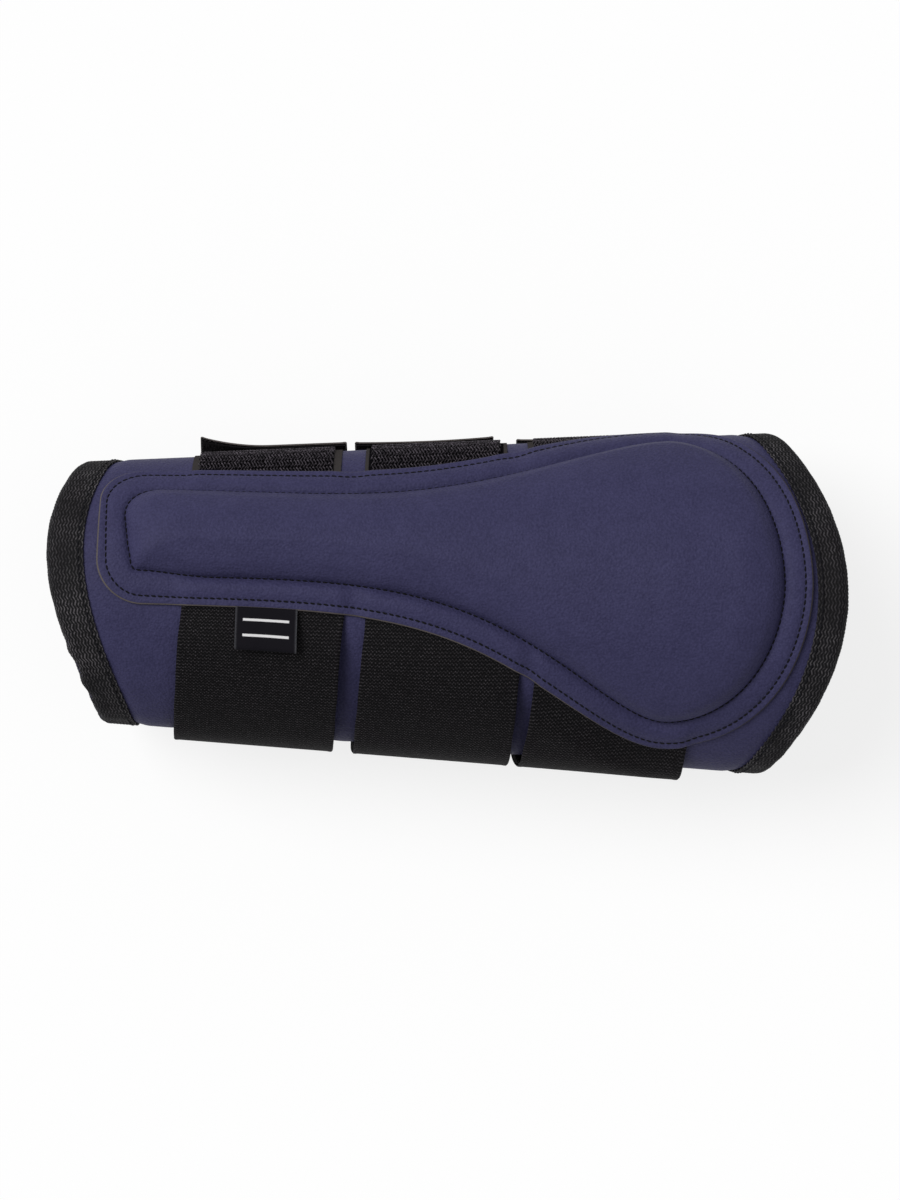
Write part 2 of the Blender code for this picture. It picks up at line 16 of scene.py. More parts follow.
import bmesh
import bpy
import numpy as np
from mathutils import Vector
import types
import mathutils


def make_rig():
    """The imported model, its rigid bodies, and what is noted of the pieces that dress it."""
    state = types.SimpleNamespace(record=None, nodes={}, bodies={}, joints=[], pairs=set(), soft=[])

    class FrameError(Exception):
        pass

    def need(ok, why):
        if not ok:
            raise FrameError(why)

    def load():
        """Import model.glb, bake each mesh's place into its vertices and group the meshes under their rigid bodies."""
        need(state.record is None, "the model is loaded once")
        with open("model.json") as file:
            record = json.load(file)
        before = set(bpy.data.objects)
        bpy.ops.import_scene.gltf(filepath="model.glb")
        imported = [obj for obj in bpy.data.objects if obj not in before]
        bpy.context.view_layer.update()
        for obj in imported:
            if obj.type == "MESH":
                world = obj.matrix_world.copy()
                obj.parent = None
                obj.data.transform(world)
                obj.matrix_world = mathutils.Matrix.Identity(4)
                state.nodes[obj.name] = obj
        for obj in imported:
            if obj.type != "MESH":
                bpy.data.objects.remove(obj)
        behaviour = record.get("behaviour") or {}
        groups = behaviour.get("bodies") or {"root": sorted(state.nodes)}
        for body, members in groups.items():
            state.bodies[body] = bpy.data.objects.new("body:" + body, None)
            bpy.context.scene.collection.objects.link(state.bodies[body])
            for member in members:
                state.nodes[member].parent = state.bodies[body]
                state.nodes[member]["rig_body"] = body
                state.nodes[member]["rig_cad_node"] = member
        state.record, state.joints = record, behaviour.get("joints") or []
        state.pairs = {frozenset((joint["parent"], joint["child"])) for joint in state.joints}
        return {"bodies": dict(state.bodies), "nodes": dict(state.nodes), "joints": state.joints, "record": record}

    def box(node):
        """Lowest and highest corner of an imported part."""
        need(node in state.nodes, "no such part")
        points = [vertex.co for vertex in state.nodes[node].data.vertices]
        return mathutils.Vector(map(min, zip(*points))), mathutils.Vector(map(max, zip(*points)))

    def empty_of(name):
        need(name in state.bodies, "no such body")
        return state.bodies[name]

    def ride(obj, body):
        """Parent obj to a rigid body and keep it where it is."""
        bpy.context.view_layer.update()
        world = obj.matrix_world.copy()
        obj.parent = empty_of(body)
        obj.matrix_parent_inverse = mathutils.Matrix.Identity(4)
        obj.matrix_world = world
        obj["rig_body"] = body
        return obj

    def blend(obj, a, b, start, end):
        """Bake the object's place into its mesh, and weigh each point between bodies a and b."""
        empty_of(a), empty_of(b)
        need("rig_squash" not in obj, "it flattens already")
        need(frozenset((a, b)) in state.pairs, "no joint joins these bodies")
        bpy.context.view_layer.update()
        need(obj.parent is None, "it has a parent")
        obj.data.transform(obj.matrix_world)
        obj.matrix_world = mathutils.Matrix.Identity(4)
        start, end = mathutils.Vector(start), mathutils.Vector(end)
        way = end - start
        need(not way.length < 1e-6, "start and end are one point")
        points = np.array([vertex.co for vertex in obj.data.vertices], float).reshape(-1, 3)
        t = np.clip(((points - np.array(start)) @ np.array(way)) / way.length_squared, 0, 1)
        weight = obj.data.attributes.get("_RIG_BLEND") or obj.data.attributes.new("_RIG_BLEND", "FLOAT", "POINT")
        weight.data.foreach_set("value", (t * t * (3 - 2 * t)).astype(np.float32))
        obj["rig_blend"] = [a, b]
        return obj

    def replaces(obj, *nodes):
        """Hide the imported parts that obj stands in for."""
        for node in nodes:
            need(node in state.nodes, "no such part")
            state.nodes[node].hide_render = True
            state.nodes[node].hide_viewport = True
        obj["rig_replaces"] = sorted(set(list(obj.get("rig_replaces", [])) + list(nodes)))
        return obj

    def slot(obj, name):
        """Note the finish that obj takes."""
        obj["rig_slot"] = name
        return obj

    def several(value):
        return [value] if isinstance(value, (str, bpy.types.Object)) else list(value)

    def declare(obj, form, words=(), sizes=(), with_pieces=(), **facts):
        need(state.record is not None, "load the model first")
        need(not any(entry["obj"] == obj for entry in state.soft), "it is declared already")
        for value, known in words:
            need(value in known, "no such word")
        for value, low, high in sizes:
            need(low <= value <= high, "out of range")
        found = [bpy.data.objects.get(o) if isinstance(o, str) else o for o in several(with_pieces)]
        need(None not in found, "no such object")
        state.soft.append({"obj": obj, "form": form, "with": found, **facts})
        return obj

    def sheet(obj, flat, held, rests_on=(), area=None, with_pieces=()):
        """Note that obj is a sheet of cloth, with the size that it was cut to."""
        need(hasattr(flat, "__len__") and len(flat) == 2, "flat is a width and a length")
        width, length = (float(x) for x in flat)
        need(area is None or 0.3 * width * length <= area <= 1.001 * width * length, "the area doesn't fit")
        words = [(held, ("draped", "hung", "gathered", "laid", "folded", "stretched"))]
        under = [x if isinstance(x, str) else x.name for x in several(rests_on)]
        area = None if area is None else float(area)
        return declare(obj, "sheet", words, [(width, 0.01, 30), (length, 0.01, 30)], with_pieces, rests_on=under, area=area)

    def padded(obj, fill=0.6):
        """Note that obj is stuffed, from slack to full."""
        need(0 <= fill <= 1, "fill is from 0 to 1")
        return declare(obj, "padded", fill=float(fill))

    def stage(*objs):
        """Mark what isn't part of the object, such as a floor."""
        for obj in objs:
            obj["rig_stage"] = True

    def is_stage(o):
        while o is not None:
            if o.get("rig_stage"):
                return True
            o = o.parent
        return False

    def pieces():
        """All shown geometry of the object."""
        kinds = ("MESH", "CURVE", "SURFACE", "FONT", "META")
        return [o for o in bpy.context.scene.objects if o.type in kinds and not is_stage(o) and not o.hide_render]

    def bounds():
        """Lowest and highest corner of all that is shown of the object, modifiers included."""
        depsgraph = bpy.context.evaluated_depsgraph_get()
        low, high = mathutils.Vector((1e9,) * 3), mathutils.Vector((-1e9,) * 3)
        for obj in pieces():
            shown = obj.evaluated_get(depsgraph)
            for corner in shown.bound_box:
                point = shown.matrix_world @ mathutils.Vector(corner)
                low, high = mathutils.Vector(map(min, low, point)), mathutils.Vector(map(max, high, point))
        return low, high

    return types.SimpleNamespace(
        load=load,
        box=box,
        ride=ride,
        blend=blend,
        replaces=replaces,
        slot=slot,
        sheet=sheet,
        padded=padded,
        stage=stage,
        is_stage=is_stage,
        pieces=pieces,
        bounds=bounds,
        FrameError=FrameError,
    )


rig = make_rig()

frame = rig.load()
CAD_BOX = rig.bounds()

LOG = logging.getLogger("boot")
SIZE_FILE = "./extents.json"

Colour = tuple[float, float, float, float]
Piece = bpy.types.Object
Place = Callable[[np.ndarray], np.ndarray]


def ease(share: Any) -> Any:
    """Ease a share from 0 to 1, held at both ends."""
    share = np.clip(share, 0, 1)
    return share * share * (3 - 2 * share)


def dent(distance: Any, width: float) -> Any:
    """A smooth groove of depth 1 at distance 0, fading over a width."""
    return np.exp(-((distance / width) ** 2))


def ripple(along: Any, length: float, seed: int) -> Any:
    """Uneven waves between -1 and 1, of about one wave in a length.

    Args:
        along: where on the edge, in metres.
        length: the usual length of a wave.
        seed: picks the phases, so that no two edges match.

    Returns:
        The height of the waves, the same each run.
    """
    phases = np.random.default_rng(seed).uniform(0, 2 * math.pi, 3)
    turns = 2 * math.pi * np.asarray(along) / length
    waves = [np.sin(turns * pace + phase) for pace, phase in zip((1.0, 1.73, 0.61), phases)]
    return (waves[0] + 0.6 * waves[1] + 0.7 * waves[2]) / 2.3


def run_along(points: np.ndarray) -> np.ndarray:
    """How far along a line each of its points lies."""
    steps = np.linalg.norm(np.diff(points, axis=0), axis=1)
    return np.concatenate([[0], np.cumsum(steps)])


@dataclass(frozen=True)
class Swell:
    """Slight unevenness of a surface, in waves along the boot and round it."""

    height: float
    lengths: tuple[float, float]
    seed: int

    def at(self, x: Any, girth: Any) -> Any:
        """Height at a place and girth."""
        along = ripple(x, self.lengths[0], self.seed)
        return self.height * along * ripple(girth, self.lengths[1], self.seed + 1)


class End(Enum):
    """The two open ends of the boot, with the way that each faces along X."""

    CANNON = -1
    FETLOCK = 1


class Panel(Enum):
    """The runs that the wrapped layers are divided into, so that each can follow the joints."""

    FLAP = "front_flap"
    SIDE = "front_side"
    BACK = "back"

    @property
    def solids(self) -> str:
        """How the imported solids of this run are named."""
        return "back" if self is Panel.BACK else "front"


@dataclass(frozen=True)
class BootForm:
    """The tapered oval section that every layer wraps, and the curved ends of the layers."""

    length: float = 0.2533
    cannon_half_width: float = 0.0361
    fetlock_half_width: float = 0.0509
    upper_side_radius: float = 0.0202
    lower_side_radius: float = 0.0241
    crown_angle: float = math.radians(50)
    bulges: Mapping[End, tuple[float, float]] = field(
        default_factory=lambda: {End.CANNON: (0.016, -0.017), End.FETLOCK: (0.0265, -0.0020)}
    )
    bulge_reach: float = 0.080
    binding_reach: Mapping[End, float] = field(
        default_factory=lambda: {End.CANNON: 0.0108, End.FETLOCK: 0.0085}
    )
    end_margin: float = 0.0013
    floor_height: float = 0.0093
    hinge_angle: float = math.radians(97)
    closure_angle: float = math.radians(-150)
    closure_gap: float = 0.00125
    split_girth: float = -0.012

    @property
    def middle(self) -> float:
        """Half width at the boot's middle."""
        return (self.cannon_half_width + self.fetlock_half_width) / 2

    @property
    def upper(self) -> float:
        """Upper side radius of the section of unit half width."""
        return self.upper_side_radius / self.middle

    @property
    def lower(self) -> float:
        """Lower side radius of the section of unit half width."""
        return self.lower_side_radius / self.middle

    @property
    def crown(self) -> float:
        """Crown radius of the section of unit half width."""
        return self.upper + (1 - self.upper) / math.sin(self.crown_angle)

    @property
    def crown_edge(self) -> float:
        """Unit girth where the crown meets the side."""
        return self.crown * self.crown_angle

    @property
    def widest(self) -> float:
        """Unit girth of the widest point."""
        return self.crown_edge + self.upper * (math.pi / 2 - self.crown_angle)

    @property
    def flat_edge(self) -> float:
        """Unit girth where the side meets the flat underside."""
        return self.widest + self.lower * math.pi / 2

    @property
    def half_girth(self) -> float:
        """Unit girth from the top to the middle of the underside."""
        return self.flat_edge + 1 - self.lower

    @property
    def bottom(self) -> float:
        """Girth of the middle of the underside."""
        return self.half_girth * self.middle

    @property
    def hinge(self) -> float:
        """Girth of the line that the front opens about."""
        return self.girth_at(self.hinge_angle)

    @property
    def closing_edges(self) -> tuple[float, float]:
        """First and last girth of the layers, on the two sides of the closure."""
        closure = self.girth_at(self.closure_angle)
        return closure + self.closure_gap, self.far_side(closure) - self.closure_gap

    def half_width(self, x: Any) -> Any:
        """Half width at a place along the boot."""
        return self.middle + (self.fetlock_half_width - self.cannon_half_width) * x / self.length

    def girth_at(self, angle: float) -> float:
        """Girth of the point whose outward normal leans by an angle from straight up."""
        lean = abs(angle)
        if lean <= self.crown_angle:
            unit = self.crown * lean
        elif lean <= math.pi / 2:
            unit = self.crown_edge + self.upper * (lean - self.crown_angle)
        else:
            unit = self.widest + self.lower * (lean - math.pi / 2)
        return math.copysign(unit * self.middle, angle)

    def far_side(self, girth: float) -> float:
        """The same point, counted on past the underside."""
        return girth + 2 * self.bottom

    def section(self, girth: Any) -> tuple[np.ndarray, np.ndarray]:
        """Points and outward normals, each (y, z), of the section of unit half width."""
        unit = np.asarray(girth, float) / self.middle
        unit = np.where(unit > self.half_girth, unit - 2 * self.half_girth, unit)
        side = np.where(unit > 0, -1.0, 1.0)
        unit = np.abs(unit)
        crown_centre = self.upper + (1 - self.upper) * math.tan(self.crown_angle / 2) - self.crown
        runs = [unit <= self.crown_edge, unit <= self.widest, unit <= self.flat_edge]
        leans = [
            unit / self.crown,
            self.crown_angle + (unit - self.crown_edge) / self.upper,
            math.pi / 2 + (unit - self.widest) / self.lower,
        ]
        lean = np.select(runs, leans, math.pi)
        across = np.select(runs, [0 * unit, 1 - self.upper, 1 - self.lower], self.half_girth - unit)
        rise = np.where(runs[0], crown_centre, 0)
        radius = np.select(runs, [self.crown, self.upper, self.lower], self.lower)
        normal = np.stack([side * np.sin(lean), np.cos(lean)], -1)
        return np.stack([side * across, rise], -1) + radius[..., None] * normal, normal

    def place(self, flat: np.ndarray) -> np.ndarray:
        """Wrap flat points round the boot."""
        point, normal = self.section(flat[:, 1])
        half = self.half_width(flat[:, 0])
        y, z = (half[:, None] * point + flat[:, 2:3] * normal).T
        return np.stack([flat[:, 0], y, z + self.lower * half + self.floor_height], -1)

    def lay(self, piece: Piece, x: Any, girth: Any, height: Any) -> None:
        """Wrap a piece round the boot, given each of its points' flat places."""
        Bench.move(piece, self.place(np.stack(np.broadcast_arrays(x, girth, height), -1)))

    def spot(self, x: float, girth: float, height: float) -> np.ndarray:
        """Wrap one flat point round the boot."""
        return self.place(np.array([[x, girth, height]]))[0]

    def end(self, which: End, girth: Any) -> Any:
        """Where the layers stop at one end."""
        bulge, centre = self.bulges[which]
        girth = np.where(np.asarray(girth) > self.bottom, girth - 2 * self.bottom, girth)
        share = np.minimum(1, np.abs(girth - centre) / self.bulge_reach)
        drop = bulge * np.sin(share * math.pi / 2) ** 2
        return which.value * (self.length / 2 - self.end_margin - drop)

    def from_end(self, which: End, x: Any, girth: Any) -> Any:
        """How far inside one end a point lies, along the boot."""
        return which.value * (self.end(which, girth) - x)

    def span(self, panel: Panel) -> tuple[float, float]:
        """First and last girth of one run of the layers."""
        first, last = self.closing_edges
        stops = {
            Panel.FLAP: (first, self.split_girth),
            Panel.SIDE: (self.split_girth, self.hinge),
            Panel.BACK: (self.hinge, last),
        }
        return stops[panel]


class Bench:
    """Blender's modelling tools, each used on one piece at a time."""

    @staticmethod
    def only(piece: Piece) -> None:
        """Select one piece and nothing else."""
        bpy.ops.object.select_all(action="DESELECT")
        piece.select_set(True)
        bpy.context.view_layer.objects.active = piece

    @staticmethod
    @contextmanager
    def editing(piece: Piece, wanted: Optional[np.ndarray] = None) -> Iterator[None]:
        """Open a piece in edit mode, with all its points picked or those of a mask."""
        Bench.only(piece)
        bpy.ops.object.mode_set(mode="EDIT")
        bpy.ops.mesh.select_all(action="SELECT" if wanted is None else "DESELECT")
        if wanted is not None:
            mesh = bmesh.from_edit_mesh(piece.data)
            for vert, pick in zip(mesh.verts, wanted):
                vert.select_set(bool(pick))
            bmesh.update_edit_mesh(piece.data)
        yield
        bpy.ops.object.mode_set(mode="OBJECT")

    @staticmethod
    def started(name: str) -> Piece:
        """Name the primitive that was just added."""
        piece = bpy.context.active_object
        piece.name = name
        piece.data.name = name
        return piece

    @staticmethod
    def grid(name: str, columns: int, rows: int) -> tuple[Piece, np.ndarray, np.ndarray]:
        """Add a flat sheet of cells.

        Args:
            name: the piece's name.
            columns: cells along the sheet.
            rows: cells across it.

        Returns:
            The piece, and how far along and across each of its points is, from 0 to 1.
        """
        bpy.ops.mesh.primitive_grid_add(
            x_subdivisions=columns, y_subdivisions=rows, size=1, calc_uvs=False
        )
        piece = Bench.started(name)
        points = Bench.points(piece)
        return piece, points[:, 0] + 0.5, points[:, 1] + 0.5

    @staticmethod
    def rod(name: str, sides: int, cuts: int) -> tuple[Piece, np.ndarray, np.ndarray]:
        """Add a capped rod, cut across into rings.

        Args:
            name: the piece's name.
            sides: faces round the rod.
            cuts: rings between its ends.

        Returns:
            The piece, how far along it each point is, and the point's angle round it.
        """
        bpy.ops.mesh.primitive_cylinder_add(vertices=sides, radius=1, depth=1, calc_uvs=False)
        piece = Bench.started(name)
        with Bench.editing(piece):
            mesh = bmesh.from_edit_mesh(piece.data)
            for edge in mesh.edges:
                edge.select_set(abs(edge.verts[0].co.z - edge.verts[1].co.z) > 0.5)
            bmesh.update_edit_mesh(piece.data)
            bpy.ops.mesh.subdivide(number_cuts=cuts)
        points = Bench.points(piece)
        return piece, points[:, 2] + 0.5, np.arctan2(points[:, 1], points[:, 0])

    @staticmethod
    def points(piece: Piece) -> np.ndarray:
        """The piece's points."""
        flat = np.empty(len(piece.data.vertices) * 3, np.float32)
        piece.data.vertices.foreach_get("co", flat)
        return flat.reshape(-1, 3).astype(float)

    @staticmethod
    def move(piece: Piece, points: np.ndarray) -> None:
        """Move the piece's points."""
        piece.data.vertices.foreach_set("co", points.astype(np.float32).ravel())
        piece.data.update()

    @staticmethod
    def chart(piece: Piece, along: np.ndarray, across: np.ndarray) -> None:
        """Keep each point's place on the flat cloth, in metres, as the piece's UV map."""
        mesh = piece.data
        corners = np.empty(len(mesh.loops), np.int32)
        mesh.loops.foreach_get("vertex_index", corners)
        pairs = np.stack([along, across], -1)[corners]
        layer = mesh.uv_layers.new(name="cloth")
        layer.data.foreach_set("uv", pairs.astype(np.float32).ravel())

    @staticmethod
    def modify(piece: Piece, kind: str, **settings: Any) -> None:
        """Add a modifier with its settings and apply it."""
        Bench.only(piece)
        modifier = piece.modifiers.new(kind.title(), kind)
        for key, value in settings.items():
            setattr(modifier, key, value)
        bpy.ops.object.modifier_apply(modifier=modifier.name)

    @staticmethod
    def thicken(
        piece: Piece,
        thickness: float,
        rim: int = 0,
        thin: Optional[np.ndarray] = None,
        thinnest: float = 0.35,
    ) -> None:
        """Give a sheet its thickness, inwards from its face.

        Args:
            piece: the sheet.
            thickness: in metres.
            rim: how many material slots further on the cut edge's finish is.
            thin: how far each point is pressed thin, from 0 to 1.
            thinnest: the share of the thickness that is left where it is pressed most.
        """
        settings: dict[str, Any] = {"thickness": thickness, "offset": -1, "material_offset_rim": rim}
        if thin is not None:
            group = piece.vertex_groups.new(name="thin")
            for index in np.flatnonzero(thin > 0):
                group.add([int(index)], float(thin[index]), "REPLACE")
            settings.update(vertex_group="thin", invert_vertex_group=True)
            settings["thickness_vertex_group"] = thinnest
        Bench.modify(piece, "SOLIDIFY", **settings)

    @staticmethod
    def repeat(piece: Piece, step: Sequence[float], count: int) -> None:
        """Copy a piece in a row, each copy a step on from the last."""
        Bench.modify(
            piece,
            "ARRAY",
            count=count,
            use_relative_offset=False,
            use_constant_offset=True,
            constant_offset_displace=step,
        )

    @staticmethod
    def scatter(
        piece: Piece, pitches: tuple[float, float], counts: tuple[int, int]
    ) -> tuple[np.ndarray, np.ndarray, np.ndarray]:
        """Copy a piece over a field.

        Args:
            piece: what is copied.
            pitches: the steps along x and along y.
            counts: how many copies there are along x and along y.

        Returns:
            Each point's place within its own copy, that copy's column and row, and its number.
        """
        size = len(piece.data.vertices)
        Bench.repeat(piece, (pitches[0], 0, 0), counts[0])
        Bench.repeat(piece, (0, pitches[1], 0), counts[1])
        points = Bench.points(piece)
        copy = np.arange(len(points)) // size
        cell = np.stack([copy % counts[0], copy // counts[0]], -1)
        points[:, :2] -= cell * pitches
        return points, cell, copy

    @staticmethod
    def trim(piece: Piece, unwanted: np.ndarray) -> None:
        """Delete the points that a mask picks out, with their faces."""
        with Bench.editing(piece, unwanted):
            bpy.ops.mesh.delete(type="VERT")

    @staticmethod
    def joined(first: Piece, *others: Piece) -> Piece:
        """Join pieces into the first one."""
        Bench.only(first)
        for other in others:
            other.select_set(True)
        bpy.ops.object.join()
        return first

    @staticmethod
    def outward(piece: Piece) -> None:
        """Turn every closed part's faces outwards."""
        with Bench.editing(piece):
            bpy.ops.mesh.normals_make_consistent(inside=False)

    @staticmethod
    def relax(piece: Piece, wanted: np.ndarray, rounds: int) -> None:
        """Smooth out the points that a mask picks."""
        with Bench.editing(piece, wanted):
            bpy.ops.mesh.vertices_smooth(factor=0.5, repeat=rounds)

    @staticmethod
    def smooth(piece: Piece, angle: float = math.radians(50)) -> Piece:
        """Shade a piece smooth, but for its sharper edges."""
        Bench.only(piece)
        bpy.ops.object.shade_smooth_by_angle(angle=angle)
        return piece


class Value:
    """A shader socket that takes part in Python arithmetic."""

    def __init__(self, board: "NodeBoard", socket: bpy.types.NodeSocket) -> None:
        """Hold a socket of a board."""
        self.board = board
        self.socket = socket

    def _math(self, operation: str, *items: Union["Value", float]) -> "Value":
        """Add a Math node on some items."""
        settings = {"operation": operation}
        return self.board.add("ShaderNodeMath", settings, dict(enumerate(items)))

    def __add__(self, other: Union["Value", float]) -> "Value":
        """Sum."""
        return self._math("ADD", self, other)

    __radd__ = __add__

    def __sub__(self, other: Union["Value", float]) -> "Value":
        """Difference."""
        return self._math("SUBTRACT", self, other)

    def __rsub__(self, other: float) -> "Value":
        """Difference from a number."""
        return self._math("SUBTRACT", other, self)

    def __mul__(self, other: Union["Value", float]) -> "Value":
        """Product."""
        return self._math("MULTIPLY", self, other)

    __rmul__ = __mul__

    def __truediv__(self, other: float) -> "Value":
        """Quotient."""
        return self._math("DIVIDE", self, other)

    def __abs__(self) -> "Value":
        """Size without its sign."""
        return self._math("ABSOLUTE", self)

    def wave(self, length: float) -> "Value":
        """A sine of one wave in each length."""
        return self._math("SINE", self * (2 * math.pi / length))

    def zigzag(self, length: float) -> "Value":
        """A straight-sided wave from 0 up to a length and back."""
        return self._math("PINGPONG", self, length)

    def between(self, low: float, high: float) -> "Value":
        """Ease from 0 at low to 1 at high."""
        settings = {"interpolation_type": "SMOOTHSTEP"}
        return self.board.add("ShaderNodeMapRange", settings, {0: self, 1: low, 2: high})


class NodeBoard:
    """The nodes of one material."""

    def __init__(self, name: str) -> None:
        """Start a material with its Principled shader."""
        self.material = bpy.data.materials.new(name)
        self.material.use_nodes = True
        self.tree = self.material.node_tree
        self.shader = self.tree.nodes["Principled BSDF"]

    def fill(self, node: bpy.types.Node, sockets: Mapping[Any, Any]) -> None:
        """Set or link a node's input sockets."""
        for key, item in sockets.items():
            if isinstance(item, Value):
                self.tree.links.new(item.socket, node.inputs[key])
            else:
                node.inputs[key].default_value = item

    def add(
        self,
        kind: str,
        settings: Optional[Mapping[str, Any]] = None,
        sockets: Optional[Mapping[Any, Any]] = None,
        output: Union[int, str] = 0,
    ) -> Value:
        """Add a node.

        Args:
            kind: the node's type.
            settings: its own settings, set first.
            sockets: what each input socket holds, a value or another node's output.
            output: which output to give back.

        Returns:
            That output.
        """
        node = self.tree.nodes.new(kind)
        for key, item in (settings or {}).items():
            setattr(node, key, item)
        self.fill(node, sockets or {})
        return Value(self, node.outputs[output])

    def here(self) -> Value:
        """The point in the boot's own frame, in metres."""
        return self.add("ShaderNodeTexCoord", output="Object")

    def cloth(self) -> tuple[Value, Value]:
        """The point's place along and across the flat cloth, in metres."""
        chart = self.add("ShaderNodeUVMap", {"uv_map": "cloth"})
        parts = {"Vector": chart}
        along = self.add("ShaderNodeSeparateXYZ", None, parts, "X")
        return along, self.add("ShaderNodeSeparateXYZ", None, parts, "Y")

    def noise(self, size: float, detail: float = 2.0) -> Value:
        """Noise from 0 to 1 with spots of about a size."""
        sockets = {"Vector": self.here(), "Scale": 1 / size, "Detail": detail}
        return self.add("ShaderNodeTexNoise", None, sockets)

    def pebbles(self, size: float) -> Value:
        """Small rounded cells of about a size."""
        sockets = {"Vector": self.here(), "Scale": 1 / size, "Smoothness": 0.5}
        return self.add("ShaderNodeTexVoronoi", {"feature": "SMOOTH_F1"}, sockets)

    def mixed(self, share: Value, first: Any, second: Any) -> Value:
        """Mix two colours."""
        sockets = {0: share, 6: first, 7: second}
        return self.add("ShaderNodeMix", {"data_type": "RGBA"}, sockets, 2)

    def surface(
        self, colour: Value, roughness: Value, relief: Value, depth: float, **constants: float
    ) -> None:
        """Connect the shader.

        Args:
            colour: the colour over the surface.
            roughness: the roughness over the surface.
            relief: the height of the fine relief, about 0 to 1.
            depth: how deep the relief is, in metres.
            constants: sockets of the shader that are the same all over, by name.
        """
        bump = self.add("ShaderNodeBump", None, {"Height": relief, "Distance": depth})
        self.fill(self.shader, {"Base Color": colour, "Roughness": roughness, "Normal": bump})
        self.fill(self.shader, {key.replace("_", " "): item for key, item in constants.items()})


@dataclass(frozen=True)
class Finish:
    """What a surface is made of."""

    name: str
    slot: Optional[str]
    dark: Colour
    light: Colour

    def paint(self, board: NodeBoard) -> None:
        """Build the finish's nodes."""
        raise NotImplementedError

    def material(self) -> bpy.types.Material:
        """The finish's material, made when it is first asked for."""
        made = bpy.data.materials.get(self.name)
        if made is None:
            board = NodeBoard(self.name)
            self.paint(board)
            made = board.material
        return made

    def dress(self, piece: Piece) -> Piece:
        """Give a piece this finish all over."""
        piece.data.materials.clear()
        piece.data.materials.append(self.material())
        if self.slot:
            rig.slot(piece, self.slot)
        return piece


@dataclass(frozen=True)
class CoatedSkin(Finish):
    """Soft coated cloth with a fine pebbled grain."""

    grain: float = 0.00075
    depth: float = 0.00022

    def paint(self, board: NodeBoard) -> None:
        """Pebbled grain, with the colour a little uneven."""
        pebbles = board.pebbles(self.grain)
        fine = board.noise(self.grain)
        blotch = board.noise(0.006) * 0.5 + board.noise(0.045) * 0.5
        tone = blotch.between(0.3, 0.7) * 0.35 + fine.between(0.3, 0.7) * 0.65
        rough = 0.50 + 0.10 * blotch + 0.06 * pebbles
        colour = board.mixed(tone, self.dark, self.light)
        relief = pebbles * 0.7 + fine * 0.3
        board.surface(colour, rough, relief, self.depth, Specular_IOR_Level=0.07)


@dataclass(frozen=True)
class CutEdge(Finish):
    """The raw edge of the strike pad's cover, where the backing shows."""

    # Where along X the painted shade of the fetlock end's binding starts, and where it is full.
    fade: tuple[float, float] = (0.075, 0.095)

    def paint(self, board: NodeBoard) -> None:
        """Pale backing fibres with darker places, and painted shade that darkens them towards the fetlock end."""
        fibres = board.noise(0.0006, 4)
        blotch = board.noise(0.009)
        along = board.add("ShaderNodeSeparateXYZ", None, {"Vector": board.here()}, "X")
        # Painted shade: the tone darkens by up to 85% from X 0.075 to 0.095, standing for the binding's shadow.
        tone = (fibres * 0.5 + blotch * 0.5) * (1 - 0.85 * along.between(*self.fade))
        colour = board.mixed(tone, self.dark, self.light)
        board.surface(colour, 0.7 + 0.2 * fibres, fibres, 0.0001, Specular_IOR_Level=0.08)


@dataclass(frozen=True)
class Webbing(Finish):
    """Herringbone webbing, whose threads zigzag along the tape."""

    thread: float = 0.00105
    row: float = 0.0013
    slant: float = 0.0006
    relief: float = 0.00022

    def threads(self, along: Any, across: Any) -> Any:
        """How far up its thread each point of the tape is, from 0 to 1."""
        turn = np.abs((along / self.row) % 2 - 1)
        crest = np.abs(np.sin(math.pi * (across + self.slant * turn) / self.thread))
        step = np.abs((along / self.row) % 1 - 0.5) * self.row
        return crest * (1 - 0.6 * dent(0.5 * self.row - step, 0.2 * self.thread))

    def paint(self, board: NodeBoard) -> None:
        """Painted highlights on the crests and painted shade in the gaps, on the same zigzag as the modelled threads,
        broken up by painted glints.
        """
        along, across = board.cloth()
        turn = (along + self.row).zigzag(self.row) / self.row
        # Painted highlight on the thread crests and painted shade in the gaps between them.
        crest = abs((across + turn * self.slant).wave(2 * self.thread))
        fibre = board.noise(0.00025, 3)
        worn = board.noise(0.017, 1).between(0.35, 0.70)
        # Painted glints: small bright specks that stand for light caught by the threads.
        painted_glint = board.noise(0.0009, 1).between(0.35, 0.65)
        tone = crest.between(0.62, 1.0) * (0.30 + 0.70 * worn) * (0.2 + 0.8 * painted_glint)
        colour = board.mixed(tone, self.dark, self.light)
        rough = 0.62 - 0.22 * tone + 0.1 * fibre
        board.surface(colour, rough, fibre, 0.00012, Specular_IOR_Level=0.10)


@dataclass(frozen=True)
class Elastic(Finish):
    """Woven elastic with a corded selvedge along both edges."""

    warp: float = 0.00060
    weft: float = 0.00050
    half_width: float = 0.0258
    selvedge: float = 0.0016

    def paint(self, board: NodeBoard) -> None:
        """Offset stitches over the middle and cross ribs along the selvedges."""
        along, across = board.cloth()
        drift = board.noise(0.0012, 1) * self.warp
        weave = (across + drift).wave(2 * self.warp) * (along + drift).wave(2 * self.weft)
        ribs = along.wave(2 * self.weft) * 0.5 + 0.5
        weave = (weave * 0.5 + 0.5) * 0.75 + ribs * 0.25
        inset = self.half_width - self.selvedge
        edge = abs(across).between(inset - 0.0003, inset + 0.0003)
        relief = weave * (1 - 0.4 * edge) + ribs * 0.4 * edge
        fuzz = board.noise(0.0005, 3)
        patch = board.noise(0.012)
        tone = relief.between(0.45, 1.0) * (0.1 + 0.9 * fuzz.between(0.35, 0.7)) * (0.6 + 0.5 * patch)
        colour = board.mixed(tone, self.dark, self.light)
        rough = 0.72 - 0.15 * relief + 0.1 * fuzz
        height = relief * 0.8 + fuzz * 0.2
        board.surface(colour, rough, height, 0.00020, Specular_IOR_Level=0.06)


